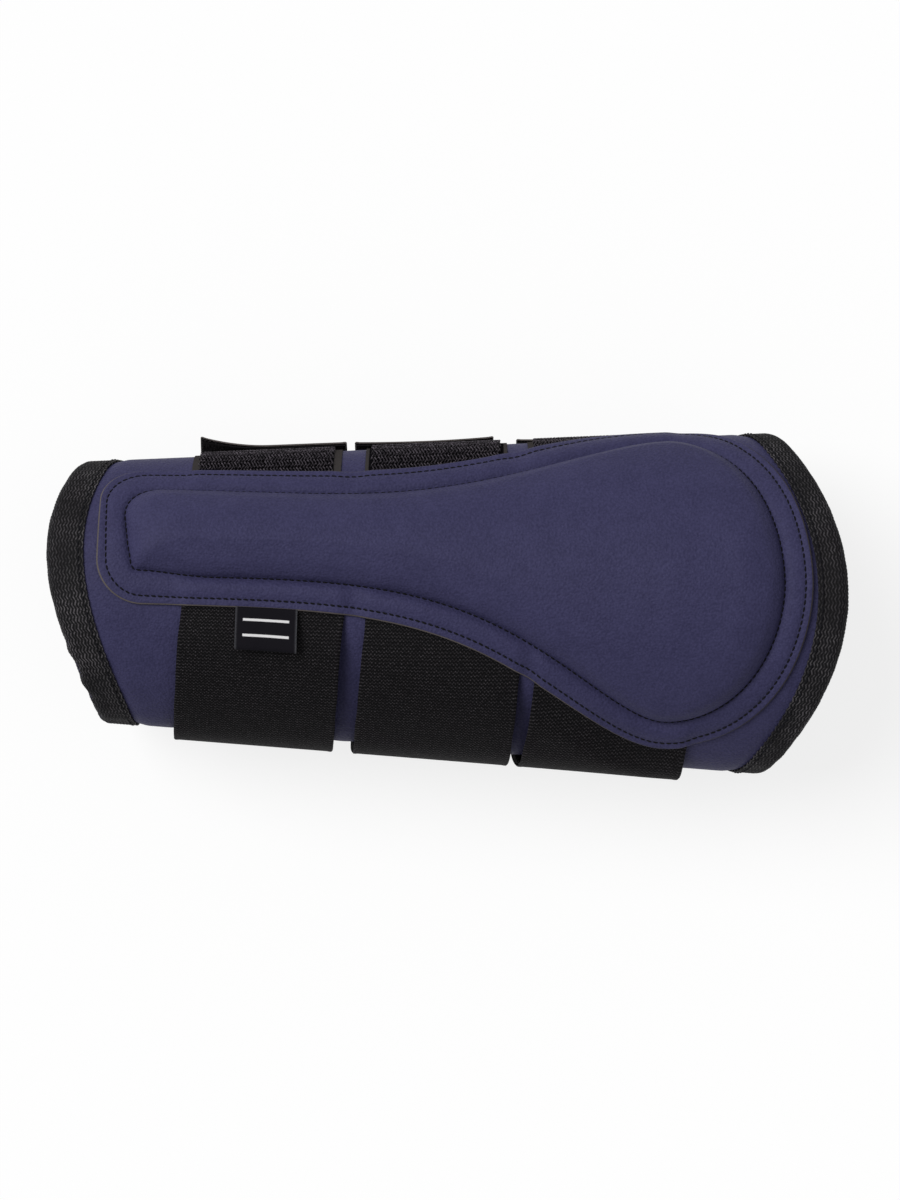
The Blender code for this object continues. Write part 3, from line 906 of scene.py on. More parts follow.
@dataclass(frozen=True)
class HookTape(Finish):
    """Hook tape: dark woven ground with plain paler selvedges."""

    selvedge: Colour = (0.052, 0.047, 0.046, 1)
    half_width: float = 0.0235
    margin: float = 0.0019

    def paint(self, board: NodeBoard) -> None:
        """Fine ribs on the ground, paler where no hooks are."""
        along, across = board.cloth()
        ribs = across.wave(0.0006) * along.wave(0.0006) * 0.5 + 0.5
        fibre = board.noise(0.0003, 3)
        inset = self.half_width - self.margin
        bare = abs(across).between(inset - 0.0002, inset + 0.0002)
        tone = ribs * 0.4 + fibre * 0.6
        hooks = board.mixed(tone, self.dark, self.light)
        colour = board.mixed(bare * (0.55 + 0.45 * fibre), hooks, self.selvedge)
        relief = ribs * 0.6 + fibre * 0.4
        board.surface(colour, 0.75 + 0.2 * fibre, relief, 0.00015, Specular_IOR_Level=0.0)


@dataclass(frozen=True)
class HookPlastic(Finish):
    """The stiff little hooks themselves."""

    def paint(self, board: NodeBoard) -> None:
        """Slightly glossy, each spot a little different."""
        spot = board.noise(0.0011, 1)
        fine = board.noise(0.0003)
        colour = board.mixed(spot.between(0.3, 0.75), self.dark, self.light)
        board.surface(colour, 0.50 + 0.15 * fine, fine, 0.00004, Specular_IOR_Level=0.06)


@dataclass(frozen=True)
class LoopPile(Finish):
    """Brushed loops on the inside of the strap ends."""

    def paint(self, board: NodeBoard) -> None:
        """Dull matted fibres."""
        mat = board.noise(0.0006, 4)
        clump = board.noise(0.003)
        colour = board.mixed(mat * 0.6 + clump * 0.4, self.dark, self.light)
        board.surface(colour, 0.85 + 0.12 * mat, mat, 0.0003, Specular_IOR_Level=0.04)


@dataclass(frozen=True)
class WovenLabel(Finish):
    """Satin ribbon with two plain pinstripes woven across it."""

    stripe: Colour = (0.78, 0.77, 0.78, 1)
    edge: Colour = (0.085, 0.085, 0.095, 1)
    stripe_places: tuple[float, float] = (0.0032, 0.0072)
    stripe_width: float = 0.0005
    half_width: float = 0.00975
    stripe_half_length: float = 0.0072

    def paint(self, board: NodeBoard) -> None:
        """Fine ribs, pale frayed edges and the pinstripes."""
        along, across = board.cloth()
        ribs = along.wave(0.00032) * across.wave(0.00045) * 0.5 + 0.5
        fibre = board.noise(0.0004, 3)
        ground = board.mixed(ribs * 0.5 + fibre * 0.5, self.dark, self.light)
        frayed = abs(across).between(self.half_width - 0.0009, self.half_width) * fibre
        ground = board.mixed(frayed, ground, self.edge)
        nearest = abs(abs(along - sum(self.stripe_places) / 2) - np.ptp(self.stripe_places) / 2)
        stripe = 1 - nearest.between(self.stripe_width / 2, self.stripe_width * 0.8)
        inside = 1 - abs(across).between(self.stripe_half_length, self.stripe_half_length + 0.0002)
        colour = board.mixed(stripe * inside * (0.75 + 0.25 * ribs), ground, self.stripe)
        relief = ribs * 0.5 + stripe * inside * 0.5
        board.surface(colour, 0.55 + 0.2 * fibre, relief, 0.0001, Specular_IOR_Level=0.04)


@dataclass(frozen=True)
class SewingThread(Finish):
    """Twisted black thread."""

    def paint(self, board: NodeBoard) -> None:
        """Two shades along the twist."""
        along, across = board.cloth()
        twist = (along + across * 0.5).wave(0.0005) * 0.5 + 0.5
        fibre = board.noise(0.0002)
        colour = board.mixed(twist * 0.7 + fibre * 0.3, self.dark, self.light)
        board.surface(colour, 0.6 + 0.15 * fibre, twist, 0.00006, Specular_IOR_Level=0.06)


@dataclass(frozen=True)
class LiningCloth(Finish):
    """Close knit lining next to the leg."""

    wale: float = 0.0013
    course: float = 0.0010

    def paint(self, board: NodeBoard) -> None:
        """Rows of knitted loops with a soft surface."""
        along, across = board.cloth()
        lean = abs(across.wave(2 * self.wale)) * (self.course / 2)
        loops = (along + lean).wave(self.course) * 0.5 + 0.5
        fuzz = board.noise(0.0008, 3)
        wale = abs(across.wave(2 * self.wale))
        tone = loops * wale * 0.6 + fuzz * 0.4
        colour = board.mixed(tone, self.dark, self.light)
        board.surface(colour, 0.82 + 0.12 * fuzz, tone, 0.00025, Specular_IOR_Level=0.06)


@dataclass(frozen=True)
class MouldedBoard(Finish):
    """The moulded stiffener inside the strike pad."""

    def paint(self, board: NodeBoard) -> None:
        """Fine moulded texture."""
        spark = board.noise(0.0008, 3)
        colour = board.mixed(spark, self.dark, self.light)
        board.surface(colour, 0.45 + 0.2 * spark, spark, 0.00006)


SKIN = CoatedSkin("navy_skin", "skin", (0.0275, 0.0262, 0.0650, 1), (0.0440, 0.0420, 0.0985, 1))
CUT_EDGE = CutEdge("raw_cut_edge", None, (0.030, 0.026, 0.028, 1), (0.140, 0.122, 0.115, 1))
# Dark is the webbing in the painted shade of its gaps, light is the painted highlight on its crests.
WEBBING = Webbing(
    "herringbone_webbing", "webbing", (0.0015, 0.0014, 0.002, 1), (0.090, 0.083, 0.090, 1)
)
ELASTIC = Elastic(
    "woven_elastic", "elastic", (0.0015, 0.0013, 0.0017, 1), (0.0700, 0.0635, 0.0700, 1)
)
HOOK_TAPE = HookTape(
    "ribbed_hook_tape", "hook_tape", (0.0015, 0.0014, 0.0018, 1), (0.007, 0.0065, 0.008, 1)
)
HOOK_PLASTIC = HookPlastic(
    "hook_plastic", None, (0.010, 0.0088, 0.0110, 1), (0.085, 0.0740, 0.0880, 1)
)
LOOP_PILE = LoopPile(
    "brushed_loop_pile", "loop_pile", (0.0035, 0.003, 0.0035, 1), (0.013, 0.012, 0.0135, 1)
)
LABEL_CLOTH = WovenLabel(
    "satin_label", "label", (0.003, 0.0027, 0.004, 1), (0.0080, 0.0072, 0.0102, 1)
)
THREAD = SewingThread("sewing_thread", None, (0.0022, 0.0022, 0.003, 1), (0.0095, 0.0092, 0.012, 1))
LINING = LiningCloth("knit_lining", "lining", (0.009, 0.009, 0.011, 1), (0.034, 0.034, 0.040, 1))
STIFFENER = MouldedBoard(
    "moulded_board", "stiffener", (0.010, 0.010, 0.011, 1), (0.020, 0.020, 0.022, 1)
)


@dataclass(frozen=True)
class Carriage:
    """Puts pieces on the bodies, bent where they cross a joint."""

    form: BootForm
    fold_reach: float = 0.011
    peel_reach: float = 0.005

    def across(self, piece: Piece, name: str, girth: float, reach: float) -> Piece:
        """Bend a piece across a joint, from the joint's parent to its child.

        Args:
            piece: the piece.
            name: the joint.
            girth: where the joint lies on the section.
            reach: how far the bend spreads on each side of it.

        Returns:
            The piece.
        """
        joint = next(item for item in frame["joints"] if item["name"] == name)
        axis = Vector(joint["axis"])
        y, z = self.form.section(girth)[1]
        onwards = axis.cross(Vector((0, y, z))).normalized()
        if onwards.z < 0:
            onwards.negate()
        middle = Vector(joint["pos_m"])
        start, end = middle - onwards * reach, middle + onwards * reach
        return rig.blend(piece, joint["parent"], joint["child"], start=start, end=end)

    def across_hinge(self, piece: Piece) -> Piece:
        """Bend a piece across the line that the front opens about."""
        return self.across(piece, "shell_open", self.form.hinge, self.fold_reach)

    def on_panel(self, piece: Piece, panel: Panel) -> Piece:
        """Carry a run of a layer."""
        if panel is Panel.FLAP:
            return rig.ride(piece, "front_panel")
        return self.across_hinge(piece)


@dataclass(frozen=True)
class StitchRow:
    """A row of lockstitches along a seam."""

    pitch: float = 0.00212
    length: float = 0.00165
    radius: float = 0.00031
    slant: float = math.radians(5)
    least_swell: float = 0.12
    sides: int = 6
    cuts: int = 3

    def sew(self, name: str, seam: np.ndarray, place: Place) -> Piece:
        """Sew along a seam.

        Args:
            name: the piece's name.
            seam: flat points along the middle of the thread.
            place: what wraps flat points into place.

        Returns:
            The row of stitches.
        """
        run = run_along(place(seam))
        count = max(1, round(run[-1] / self.pitch))
        pitch = run[-1] / count

        def at(distance: np.ndarray) -> np.ndarray:
            """The seam's flat points at some distances along it."""
            return np.stack([np.interp(distance, run, part) for part in seam.T], -1)

        piece, share, turn = Bench.rod(name, self.sides, self.cuts)
        swell = self.radius * np.sqrt(np.maximum(self.least_swell, 1 - (2 * share - 1) ** 4))
        along = (share - 0.5) * self.length
        across = swell * np.cos(turn) + along * math.tan(self.slant)
        Bench.move(piece, np.stack([along, across, swell * np.sin(turn)], -1))
        Bench.repeat(piece, (pitch, 0, 0), count)
        along, across, height = Bench.points(piece).T
        along = along + pitch / 2
        Bench.chart(piece, along, across)
        spine = at(along)
        heading = (at(along + pitch / 4) - at(along - pitch / 4))[:, :2]
        heading = heading / np.linalg.norm(heading, axis=1)[:, None]
        spine += np.stack([-across * heading[:, 1], across * heading[:, 0], height], -1)
        Bench.move(piece, place(spine))
        Bench.outward(piece)
        return THREAD.dress(Bench.smooth(piece))


@dataclass(frozen=True)
class StrapLay:
    """How one strap lies on the boot."""

    aside: float
    lean: float
    hook_shift: float
    tab_shift: float
    leave_angle: float
    tab_length: float
    flares: tuple[float, float]
    end_width: float = 0.047
    spread: float = 1.0


@dataclass(frozen=True)
class StrapPlan:
    """Where the three straps and their patches lie."""

    form: BootForm
    lays: Mapping[int, StrapLay]
    width: float = 0.0516
    thickness: float = 0.0013

    def centre(self, number: int) -> float:
        """Where a strap's middle lies along the boot."""
        low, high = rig.box(f"strap_{number}_run")
        return (low.x + high.x) / 2 + self.lays[number].aside

    def shift(self, number: int, girth: Any) -> Any:
        """How far a strap leans towards the fetlock end on its way up from the underside."""
        hinge = self.form.hinge
        fade = 1 - ease((girth - hinge) / (self.form.bottom - hinge))
        return self.lays[number].lean * (1 - np.maximum(0, girth) / hinge) * fade

    def under_straps(self, x: Any, girth: Any, soften: float) -> Any:
        """How far a point is under one of the straps, from 0 to 1."""
        near = [
            np.abs(x - self.shift(number, girth) - self.centre(number)) for number in self.lays
        ]
        return 1 - ease((np.min(near, axis=0) - self.width / 2) / soften + 0.5)

    def under_hooks(self, x: Any, soften: float) -> Any:
        """How far a point is over one of the hook patches, from 0 to 1."""
        outside = [
            np.abs(x - lay.hook_shift - self.centre(number)) - lay.end_width / 2
            for number, lay in self.lays.items()
        ]
        return 1 - ease(np.min(outside, axis=0) / soften + 0.5)


@dataclass(frozen=True)
class Shell:
    """The foam-backed skin and the lining, each in three runs."""

    form: BootForm
    plan: StrapPlan
    carriage: Carriage
    skin_top: float = 0.0056
    skin_body: float = 0.0034
    lining_top: float = 0.0010
    lining_body: float = 0.0008
    squeeze: float = 0.0008
    squeeze_inside: float = 0.0013
    squeeze_fade: float = 0.0055
    closure_squeeze: float = 0.0005
    closure_reach: float = 0.0042
    closure_fade: float = 0.0030
    strap_press: float = 0.00022
    press_soften: float = 0.004
    press_start: float = 0.010
    press_fade: float = 0.008
    skin_swell: Swell = Swell(0.00012, (0.047, 0.038), 3)
    lining_swell: Swell = Swell(0.0001, (0.031, 0.027), 5)
    cell: float = 0.0016

    def skin_height(self, x: Any, girth: Any) -> Any:
        """Height of the skin, pressed in under the bindings, the tapes and the straps."""
        past = [self.form.from_end(end, x, girth) - self.form.binding_reach[end] for end in End]
        pinch = 1 - ease((np.min(past, axis=0) + self.squeeze_inside) / self.squeeze_fade)
        clear = ease((girth - self.press_start) / self.press_fade)
        press = self.plan.under_straps(x, girth, self.press_soften) * clear
        first, last = self.form.closing_edges
        inside = np.minimum(girth - first, last - girth)
        shut = 1 - ease((inside - self.closure_reach) / self.closure_fade)
        pressed = np.maximum(self.squeeze * pinch, self.closure_squeeze * shut)
        return self.skin_top - pressed - self.strap_press * press + self.skin_swell.at(x, girth)

    def layer(self, name: str, panel: Panel, height: Callable[[Any, Any], Any]) -> Piece:
        """Wrap one run of a layer.

        Args:
            name: the piece's name.
            panel: which run.
            height: gives the layer's outer height at a place and girth.

        Returns:
            A sheet without thickness.
        """
        start, end = self.form.span(panel)
        columns = round(self.form.length / self.cell)
        rows = max(2, round((end - start) / self.cell))
        piece, along, across = Bench.grid(name, columns, rows)
        girth = end + (start - end) * across
        low, high = (self.form.end(which, girth) for which in End)
        x = low + (high - low) * along
        Bench.chart(piece, x, girth)
        self.form.lay(piece, x, girth, height(x, girth))
        return piece

    def skin(self, panel: Panel) -> Piece:
        """One run of the padded skin."""
        piece = self.layer(f"{panel.value}_shell", panel, self.skin_height)
        Bench.thicken(piece, self.skin_body)
        SKIN.dress(Bench.smooth(piece))
        self.carriage.on_panel(piece, panel)
        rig.padded(piece, fill=0.4)
        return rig.replaces(piece, f"{panel.solids}_skin", f"{panel.solids}_foam")

    def lining(self, panel: Panel) -> Piece:
        """One run of the lining."""

        def height(x: Any, girth: Any) -> Any:
            """The lining's outer height, a little uneven."""
            return self.lining_top + self.lining_swell.at(x, girth)

        piece = self.layer(f"{panel.value}_lining_cloth", panel, height)
        area = sum(face.area for face in piece.data.polygons)
        start, end = self.form.span(panel)
        wide = (end - start) * self.form.fetlock_half_width / self.form.middle
        Bench.thicken(piece, self.lining_body)
        LINING.dress(Bench.smooth(piece))
        self.carriage.on_panel(piece, panel)
        flat = (self.form.length, wide)
        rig.sheet(piece, flat, "stretched", [f"{panel.value}_shell"], area)
        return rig.replaces(piece, f"{panel.solids}_lining")

    def build(self) -> list[Piece]:
        """Make every run of the skin and the lining."""
        skins = [self.skin(panel) for panel in Panel]
        return skins + [self.lining(panel) for panel in Panel]


@dataclass(frozen=True)
class EndBinding:
    """Herringbone webbing folded over one end of the boot."""

    form: BootForm
    carriage: Carriage
    which: End
    outer: float = 0.0057
    inner: float = -0.0012
    nose: float = 0.0013
    nose_depth: float = 0.0032
    thickness: float = 0.0008
    wave: float = 0.00055
    wave_length: float = 0.0115
    pucker: float = 0.00030
    step: float = 0.00033
    leg_cells: int = 27
    nose_cells: int = 16
    hidden_cells: int = 8
    run_steps: int = 2000
    girth_steps: int = 1000
    seam_steps: int = 400
    stitch_inset: float = 0.0016
    seam: StitchRow = StitchRow(pitch=0.0026, length=0.0020)
    gathers: Mapping[End, tuple[float, ...]] = field(
        default_factory=lambda: {
            End.CANNON: (0.2, 0.8, 0.006, 0.014),
            End.FETLOCK: (0.15, 0.35, 0.030, 0.015),
        }
    )
    seed: int = 11
    pucker_seed: int = 16

    @property
    def reach(self) -> float:
        """How far in from the end the tape lies."""
        return self.form.binding_reach[self.which]

    def profile(self, share: np.ndarray) -> tuple[np.ndarray, ...]:
        """The folded tape's outer face, from its outer edge round to its inner edge.

        Args:
            share: which cell across the tape, as a share of all its cells.

        Returns:
            Distance past the end, height, place across the tape, how near the nose each point
            is, from 0 to 1, and how far it faces outwards along the boot and upwards.
        """
        cells = share * (self.leg_cells + self.nose_cells + self.hidden_cells)
        leg = self.reach + self.nose - self.nose_depth
        turn = np.clip((cells - self.leg_cells) / self.nose_cells, 0, 1) * math.pi
        back = np.clip(cells - self.leg_cells - self.nose_cells, 0, None) / self.hidden_cells
        front = 1 - np.clip(cells / self.leg_cells, 0, 1)
        half = (self.outer - self.inner) / 2
        root = self.nose - self.nose_depth
        past = root - leg * (front + back) + self.nose_depth * np.sin(turn)
        height = (self.outer + self.inner) / 2 + half * np.cos(turn)
        across = leg * (1 - front) + turn * (half + self.nose_depth) / 2 + leg * back
        forward = np.clip(1 - front, 0, 1) * (1 - back)
        return past, height, across, forward, np.sin(turn), np.cos(turn)

    def run(self, girth: np.ndarray) -> np.ndarray:
        """How far along the tape each girth lies."""
        marks = np.linspace(*self.form.closing_edges, self.run_steps)
        edge = self.form.end(self.which, marks)
        points = self.form.place(np.stack([edge, marks, np.full_like(marks, self.outer)], -1))
        return np.interp(girth, marks, run_along(points))

    def gather(self, girth: np.ndarray) -> np.ndarray:
        """How strongly the tape is gathered, most down the strap side of the cannon end."""
        least, more, start, fade = self.gathers[self.which]
        return least + more * ease((girth - start) / fade)

    def tape(self, panel: Panel) -> Piece:
        """One run of the binding."""
        start, end = self.form.span(panel)
        marks = np.linspace(start, end, self.girth_steps)
        run = self.run(marks)
        columns = max(4, round((run[-1] - run[0]) / self.step))
        rows = self.leg_cells + self.nose_cells + self.hidden_cells
        name = f"{panel.value}_{self.which.name.lower()}_binding_tape"
        piece, along, share = Bench.grid(name, columns, rows)
        if self.which is End.CANNON:
            along = 1 - along
        along = run[0] + (run[-1] - run[0]) * along
        girth = np.interp(along, run, marks)
        past, height, across, forward, out, up = self.profile(share)
        gather = self.gather(girth)
        wave, pucker = (
            ripple(along, self.wave_length, seed + self.which.value) * gather
            for seed in (self.seed, self.pucker_seed)
        )
        past = past + self.wave * wave * forward
        height = height + self.pucker * pucker * up
        thread = WEBBING.relief * (WEBBING.threads(along, across) - 1)
        past = past + thread * out
        height = height + thread * up
        x = self.form.end(self.which, girth) + self.which.value * past
        Bench.chart(piece, along, across)
        self.form.lay(piece, x, girth, height)
        Bench.thicken(piece, self.thickness)
        WEBBING.dress(Bench.smooth(piece, math.radians(75)))
        self.carriage.on_panel(piece, panel)
        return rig.replaces(piece, f"{panel.solids}_{self.which.name.lower()}_binding")

    def stitches(self, panel: Panel) -> Piece:
        """The row that sews one run of the binding down, near its edge."""
        start, end = self.form.span(panel)
        girth = np.linspace(start, end, self.seam_steps)
        inset = self.reach - self.stitch_inset
        x = self.form.end(self.which, girth) - self.which.value * inset
        seam = np.stack([x, girth, np.full_like(x, self.outer)], -1)
        name = f"{panel.value}_{self.which.name.lower()}_binding_stitches"
        piece = self.seam.sew(name, seam, self.form.place)
        return self.carriage.on_panel(piece, panel)

    def build(self) -> list[Piece]:
        """Make every run of the binding and its stitches."""
        tapes = [self.tape(panel) for panel in Panel]
        return tapes + [self.stitches(panel) for panel in Panel]


@dataclass(frozen=True)
class ClosureTape:
    """Woven tape folded over the two long edges that meet at the closure."""

    form: BootForm
    reach: float = 0.0052
    outer: float = 0.0060
    inner: float = -0.0008
    nose: float = 0.0009
    nose_depth: float = 0.0026
    nose_power: float = 0.6
    thickness: float = 0.0006
    overhang: float = 0.0012
    rows: int = 30
    step: float = 0.0015

    def tape(self, name: str, edge: float, outwards: float, body: str) -> Piece:
        """Fold a tape over one edge.

        Args:
            name: the piece's name.
            edge: girth of the edge.
            outwards: 1 where the girth grows past the edge, otherwise -1.
            body: what carries it.

        Returns:
            The tape.
        """
        ends = (float(self.form.end(which, edge)) for which in End)
        low, high = (end + math.copysign(self.overhang, end) for end in ends)
        piece, along, share = Bench.grid(name, round((high - low) / self.step), self.rows)
        x = low + (high - low) * (along if outwards < 0 else 1 - along)
        leg = self.reach + self.nose - self.nose_depth
        turn = np.clip(share * 3 - 1, 0, 1) * math.pi
        flat = np.clip(1 - share * 3, 0, 1) + np.clip(share * 3 - 2, 0, 1)
        bend = np.maximum(0, np.sin(turn)) ** self.nose_power
        past = self.nose - self.nose_depth - leg * flat + self.nose_depth * bend
        half = (self.outer - self.inner) / 2
        height = (self.outer + self.inner) / 2 + half * np.cos(turn)
        across = share * (2 * leg + math.pi * self.nose_depth)
        Bench.chart(piece, x, across)
        self.form.lay(piece, x, edge + outwards * past, height)
        Bench.thicken(piece, self.thickness)
        WEBBING.dress(Bench.smooth(piece))
        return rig.ride(piece, body)

    def build(self) -> list[Piece]:
        """Make the tape on each side of the closure."""
        front_edge, back_edge = self.form.closing_edges
        front = self.tape("front_closure_binding", front_edge, -1, "front_panel")
        back = self.tape("back_closure_binding", back_edge, 1, "back_panel")
        return [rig.replaces(front, "front_closure_tape"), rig.replaces(back, "back_closure_tape")]


@dataclass(frozen=True)
class PadSide:
    """One long side of the strike pad: a nearly straight handle that flares out to the head."""

    way: int
    level: float
    slope: float
    flare_start: float
    flare_power: float
    head: float
    corner: float
    corner_shrink: float

    def line(self, x: Any, head_x: float) -> Any:
        """Girth of the side's edge, from the cannon end up to the head's widest place."""
        share = np.clip((x - self.flare_start) / (head_x - self.flare_start), 0, 1)
        handle = self.level + self.slope * x
        return handle + (self.head - handle) * ease(share**self.flare_power)


@dataclass(frozen=True)
class StrikePad:
    """The padded cover over the tendon, sewn down along its edge and round its cushion."""

    form: BootForm
    plan: StrapPlan
    lower: PadSide = PadSide(
        way=1, level=0.0035, slope=-0.0035, flare_start=-0.1757, flare_power=3.78,
        head=0.0423, corner=0.0150, corner_shrink=1.5,
    )
    upper: PadSide = PadSide(
        way=-1, level=-0.0383, slope=0.0646, flare_start=-0.0560, flare_power=1.46,
        head=-0.0571, corner=0.0135, corner_shrink=0.25,
    )
    head_x: float = 0.0702
    tip_girth: float = -0.0045
    tip_power: float = 1.85
    skew: float = 0.145
    skew_shift: float = 0.0011
    skew_reach: float = 0.022
    droop: float = 0.0021
    droop_reach: float = 0.030
    droop_width: float = 0.008
    least_corner: float = 0.0018
    probe: float = 0.0005
    outline_steps: int = 600
    corner_steps: int = 40
    cannon_trim: float = 0.0005
    fetlock_trim: float = 0.0016
    cover: float = 0.0012
    rest_height: float = 0.0056
    strap_lift: float = 0.00125
    hook_lift: float = 0.00055
    lift_soften: float = 0.006
    lift_inset: float = 0.0062
    lift_fade: float = 0.0028
    lift_aside: float = 0.004
    binding_lift: float = 0.0003
    binding_reach: float = 0.012
    binding_fade: float = 0.006
    edge_drop: float = 0.0004
    edge_round: float = 0.0006
    edge_stitch: float = 0.0024
    stitch_sink: float = 0.00028
    stitch_spread: float = 0.00055
    puff: float = 0.0004
    puff_power: float = 0.8
    seam: float = 0.0088
    seam_sink: float = 0.0006
    seam_spread: float = 0.0007
    crown: float = 0.0068
    roll: float = 0.0134
    roll_power: float = 2.3
    dome: float = 0.0022
    dome_reach: float = 0.030
    swell: Swell = Swell(0.0003, (0.052, 0.041), 21)
    flange_rings: tuple[float, ...] = (
        0, 0.0004, 0.0007, 0.0013, 0.0019, 0.0024, 0.0029, 0.0036, 0.0047, 0.0060, 0.0072,
    )
    groove_rings: tuple[float, ...] = (
        0.0080, 0.0084, 0.0088, 0.0090, 0.0093, 0.0097, 0.0103, 0.0111,
    )
    crest_rings: tuple[float, ...] = (0.0122, 0.0136, 0.0152, 0.0170, 0.0188)
    relax_rounds: int = 40
    points: int = 480
    fill_span: int = 24
    board_inset: float = 0.0124
    board_height: float = 0.0074
    board_thickness: float = 0.0012
    board_rings: tuple[float, ...] = (0, 0.0003, 0.0008, 0.0030, 0.0064)
    board_round: float = 0.0008
    edge_thread_lift: float = 0.00006
    seam_thread_lift: float = 0.00010

    @property
    def cannon_x(self) -> float:
        """Where the pad starts, at the cannon end."""
        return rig.box("strike_pad_cover")[0].x + self.cannon_trim

    @property
    def fetlock_x(self) -> float:
        """Where the pad ends, at the fetlock end."""
        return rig.box("strike_pad_cover")[1].x - self.fetlock_trim

    def edge(self, side: PadSide, x: Any, inset: float = 0.0) -> Any:
        """Girth of one side of the pad's outline, drawn in by an inset."""
        ahead, behind = (side.line(x + way * self.probe, self.head_x) for way in (1, -1))
        slope = (ahead - behind) / (2 * self.probe)
        corner = max(side.corner - side.corner_shrink * inset, self.least_corner)
        short = np.maximum(0, corner - (x - self.cannon_x - inset))
        rounded = corner - np.sqrt(np.maximum(0, corner**2 - short**2))
        body = side.line(x, self.head_x) - side.way * (inset * np.sqrt(1 + slope**2) + rounded)
        reach = np.clip((x - self.head_x) / (self.fetlock_x - inset - self.head_x), 0, 1)
        head = side.head - side.way * inset - self.tip_girth
        tip = self.tip_girth + head * (1 - reach**self.tip_power) ** (1 / self.tip_power)
        return np.where(x > self.head_x, tip, body)

    def centre(self, x: Any) -> Any:
        """Girth halfway between the pad's two sides."""
        return (self.edge(self.lower, x) + self.edge(self.upper, x)) / 2

    def ring(self, inset: float) -> np.ndarray:
        """The pad's outline drawn in by an inset, evenly stepped along each side.

        Args:
            inset: how far inside the edge.

        Returns:
            Points (x, girth), from the fetlock tip round by the lower side.
        """
        start, end = self.cannon_x + inset, self.fetlock_x - inset
        turns = np.linspace(0, math.pi, self.outline_steps)
        places = start + (end - start) * (1 + np.cos(turns)) / 2
        sides = [self.edge(side, places, inset) for side in (self.lower, self.upper)]
        middle = (sides[0][-1] + sides[1][-1]) / 2
        half = self.points // 2
        halves = []
        for girth in sides:
            x = np.concatenate([places, np.full(self.corner_steps, start)])
            corner = np.linspace(girth[-1], middle, self.corner_steps + 1)[1:]
            line = np.stack([x, np.concatenate([girth, corner])], -1)
            run = run_along(line)
            marks = run[-1] * np.arange(half + 1) / half
            halves.append(np.stack([np.interp(marks, run, part) for part in line.T], -1))
        ring = np.concatenate([halves[0], halves[1][-2:0:-1]])
        drawn = min(1, inset / self.seam)
        aside = ring[:, 1] - middle
        near, along = (
            1 - ease((ring[:, 0] - start) / reach) for reach in (self.skew_reach, self.droop_reach)
        )
        ring[:, 0] += drawn * near * (self.skew * aside + self.skew_shift)
        ring[:, 1] -= drawn * along * self.droop * ease(aside / self.droop_width)
        return ring

    def rest(self, x: np.ndarray, girth: np.ndarray, inset: np.ndarray) -> np.ndarray:
        """Height of what the cover lies on: skin, straps, hook patches and binding."""
        outer = 1 - ease((inset - self.lift_inset) / self.lift_fade)
        aside = girth - self.centre(x)
        straps = self.plan.under_straps(x, girth, self.lift_soften)
        hooks = self.plan.under_hooks(x, self.lift_soften)
        lift = np.where(aside > 0, self.strap_lift * straps, self.hook_lift * hooks)
        lift = lift * ease(np.abs(aside) / self.lift_aside)
        tip = ease((x - self.fetlock_x + self.binding_reach) / self.binding_fade)
        return self.rest_height + (lift + self.binding_lift * tip) * outer

    def height(self, x: np.ndarray, girth: np.ndarray, inset: np.ndarray) -> np.ndarray:
        """Height of the cover's face at a distance inside its edge."""
        flange = self.seam - self.edge_stitch
        between = np.clip((inset - self.edge_stitch) / flange, 0, 1)
        share = np.clip((inset - self.seam) / self.roll, 0, 1)
        deep = np.maximum(0, inset - self.seam - self.roll)
        top = self.rest(x, girth, inset) + self.cover
        top = top - self.edge_drop * np.maximum(0, 1 - inset / self.edge_round) ** 2
        top = top - self.stitch_sink * dent(inset - self.edge_stitch, self.stitch_spread)
        top = top + self.puff * np.sin(math.pi * between) ** self.puff_power
        top = top - self.seam_sink * dent(inset - self.seam, self.seam_spread)
        top = top + self.crown * (1 - (1 - share) ** self.roll_power)
        top = top + self.dome * ease(deep / self.dome_reach)
        return top + share * self.swell.at(x, girth)

    def loft(self, name: str, insets: Sequence[float]) -> tuple[Piece, np.ndarray, np.ndarray]:
        """Draw the outline in ring by ring and fill the middle.

        Args:
            name: the piece's name.
            insets: how far inside the edge each ring lies.

        Returns:
            The flat piece, its flat points (x, girth) and how far inside the edge each lies.
        """
        rings = [self.ring(inset) for inset in insets]
        bpy.ops.mesh.primitive_circle_add(vertices=self.points, radius=1, calc_uvs=False)
        piece = Bench.started(name)
        with Bench.editing(piece):
            mesh = bmesh.from_edit_mesh(piece.data)
            station = mesh.verts.layers.int.new("station")
            for index, vert in enumerate(mesh.verts):
                vert[station] = index
                vert.co = (*rings[0][index], 0)
            bmesh.update_edit_mesh(piece.data)
            for ring in rings[1:]:
                bpy.ops.mesh.extrude_edges_move()
                mesh = bmesh.from_edit_mesh(piece.data)
                station = mesh.verts.layers.int["station"]
                for vert in mesh.verts:
                    if vert.select:
                        vert.co = (*ring[vert[station]], 0)
                bmesh.update_edit_mesh(piece.data)
            bpy.ops.mesh.fill_grid(span=self.fill_span, offset=-(self.fill_span // 2))
        flat = Bench.points(piece)[:, :2]
        inset = np.repeat(insets, self.points)
        middle = flat[len(inset):]
        gaps = np.linalg.norm(middle[:, None] - rings[-1][None, ::4], axis=2).min(axis=1)
        return piece, flat, np.concatenate([inset, insets[-1] + gaps])

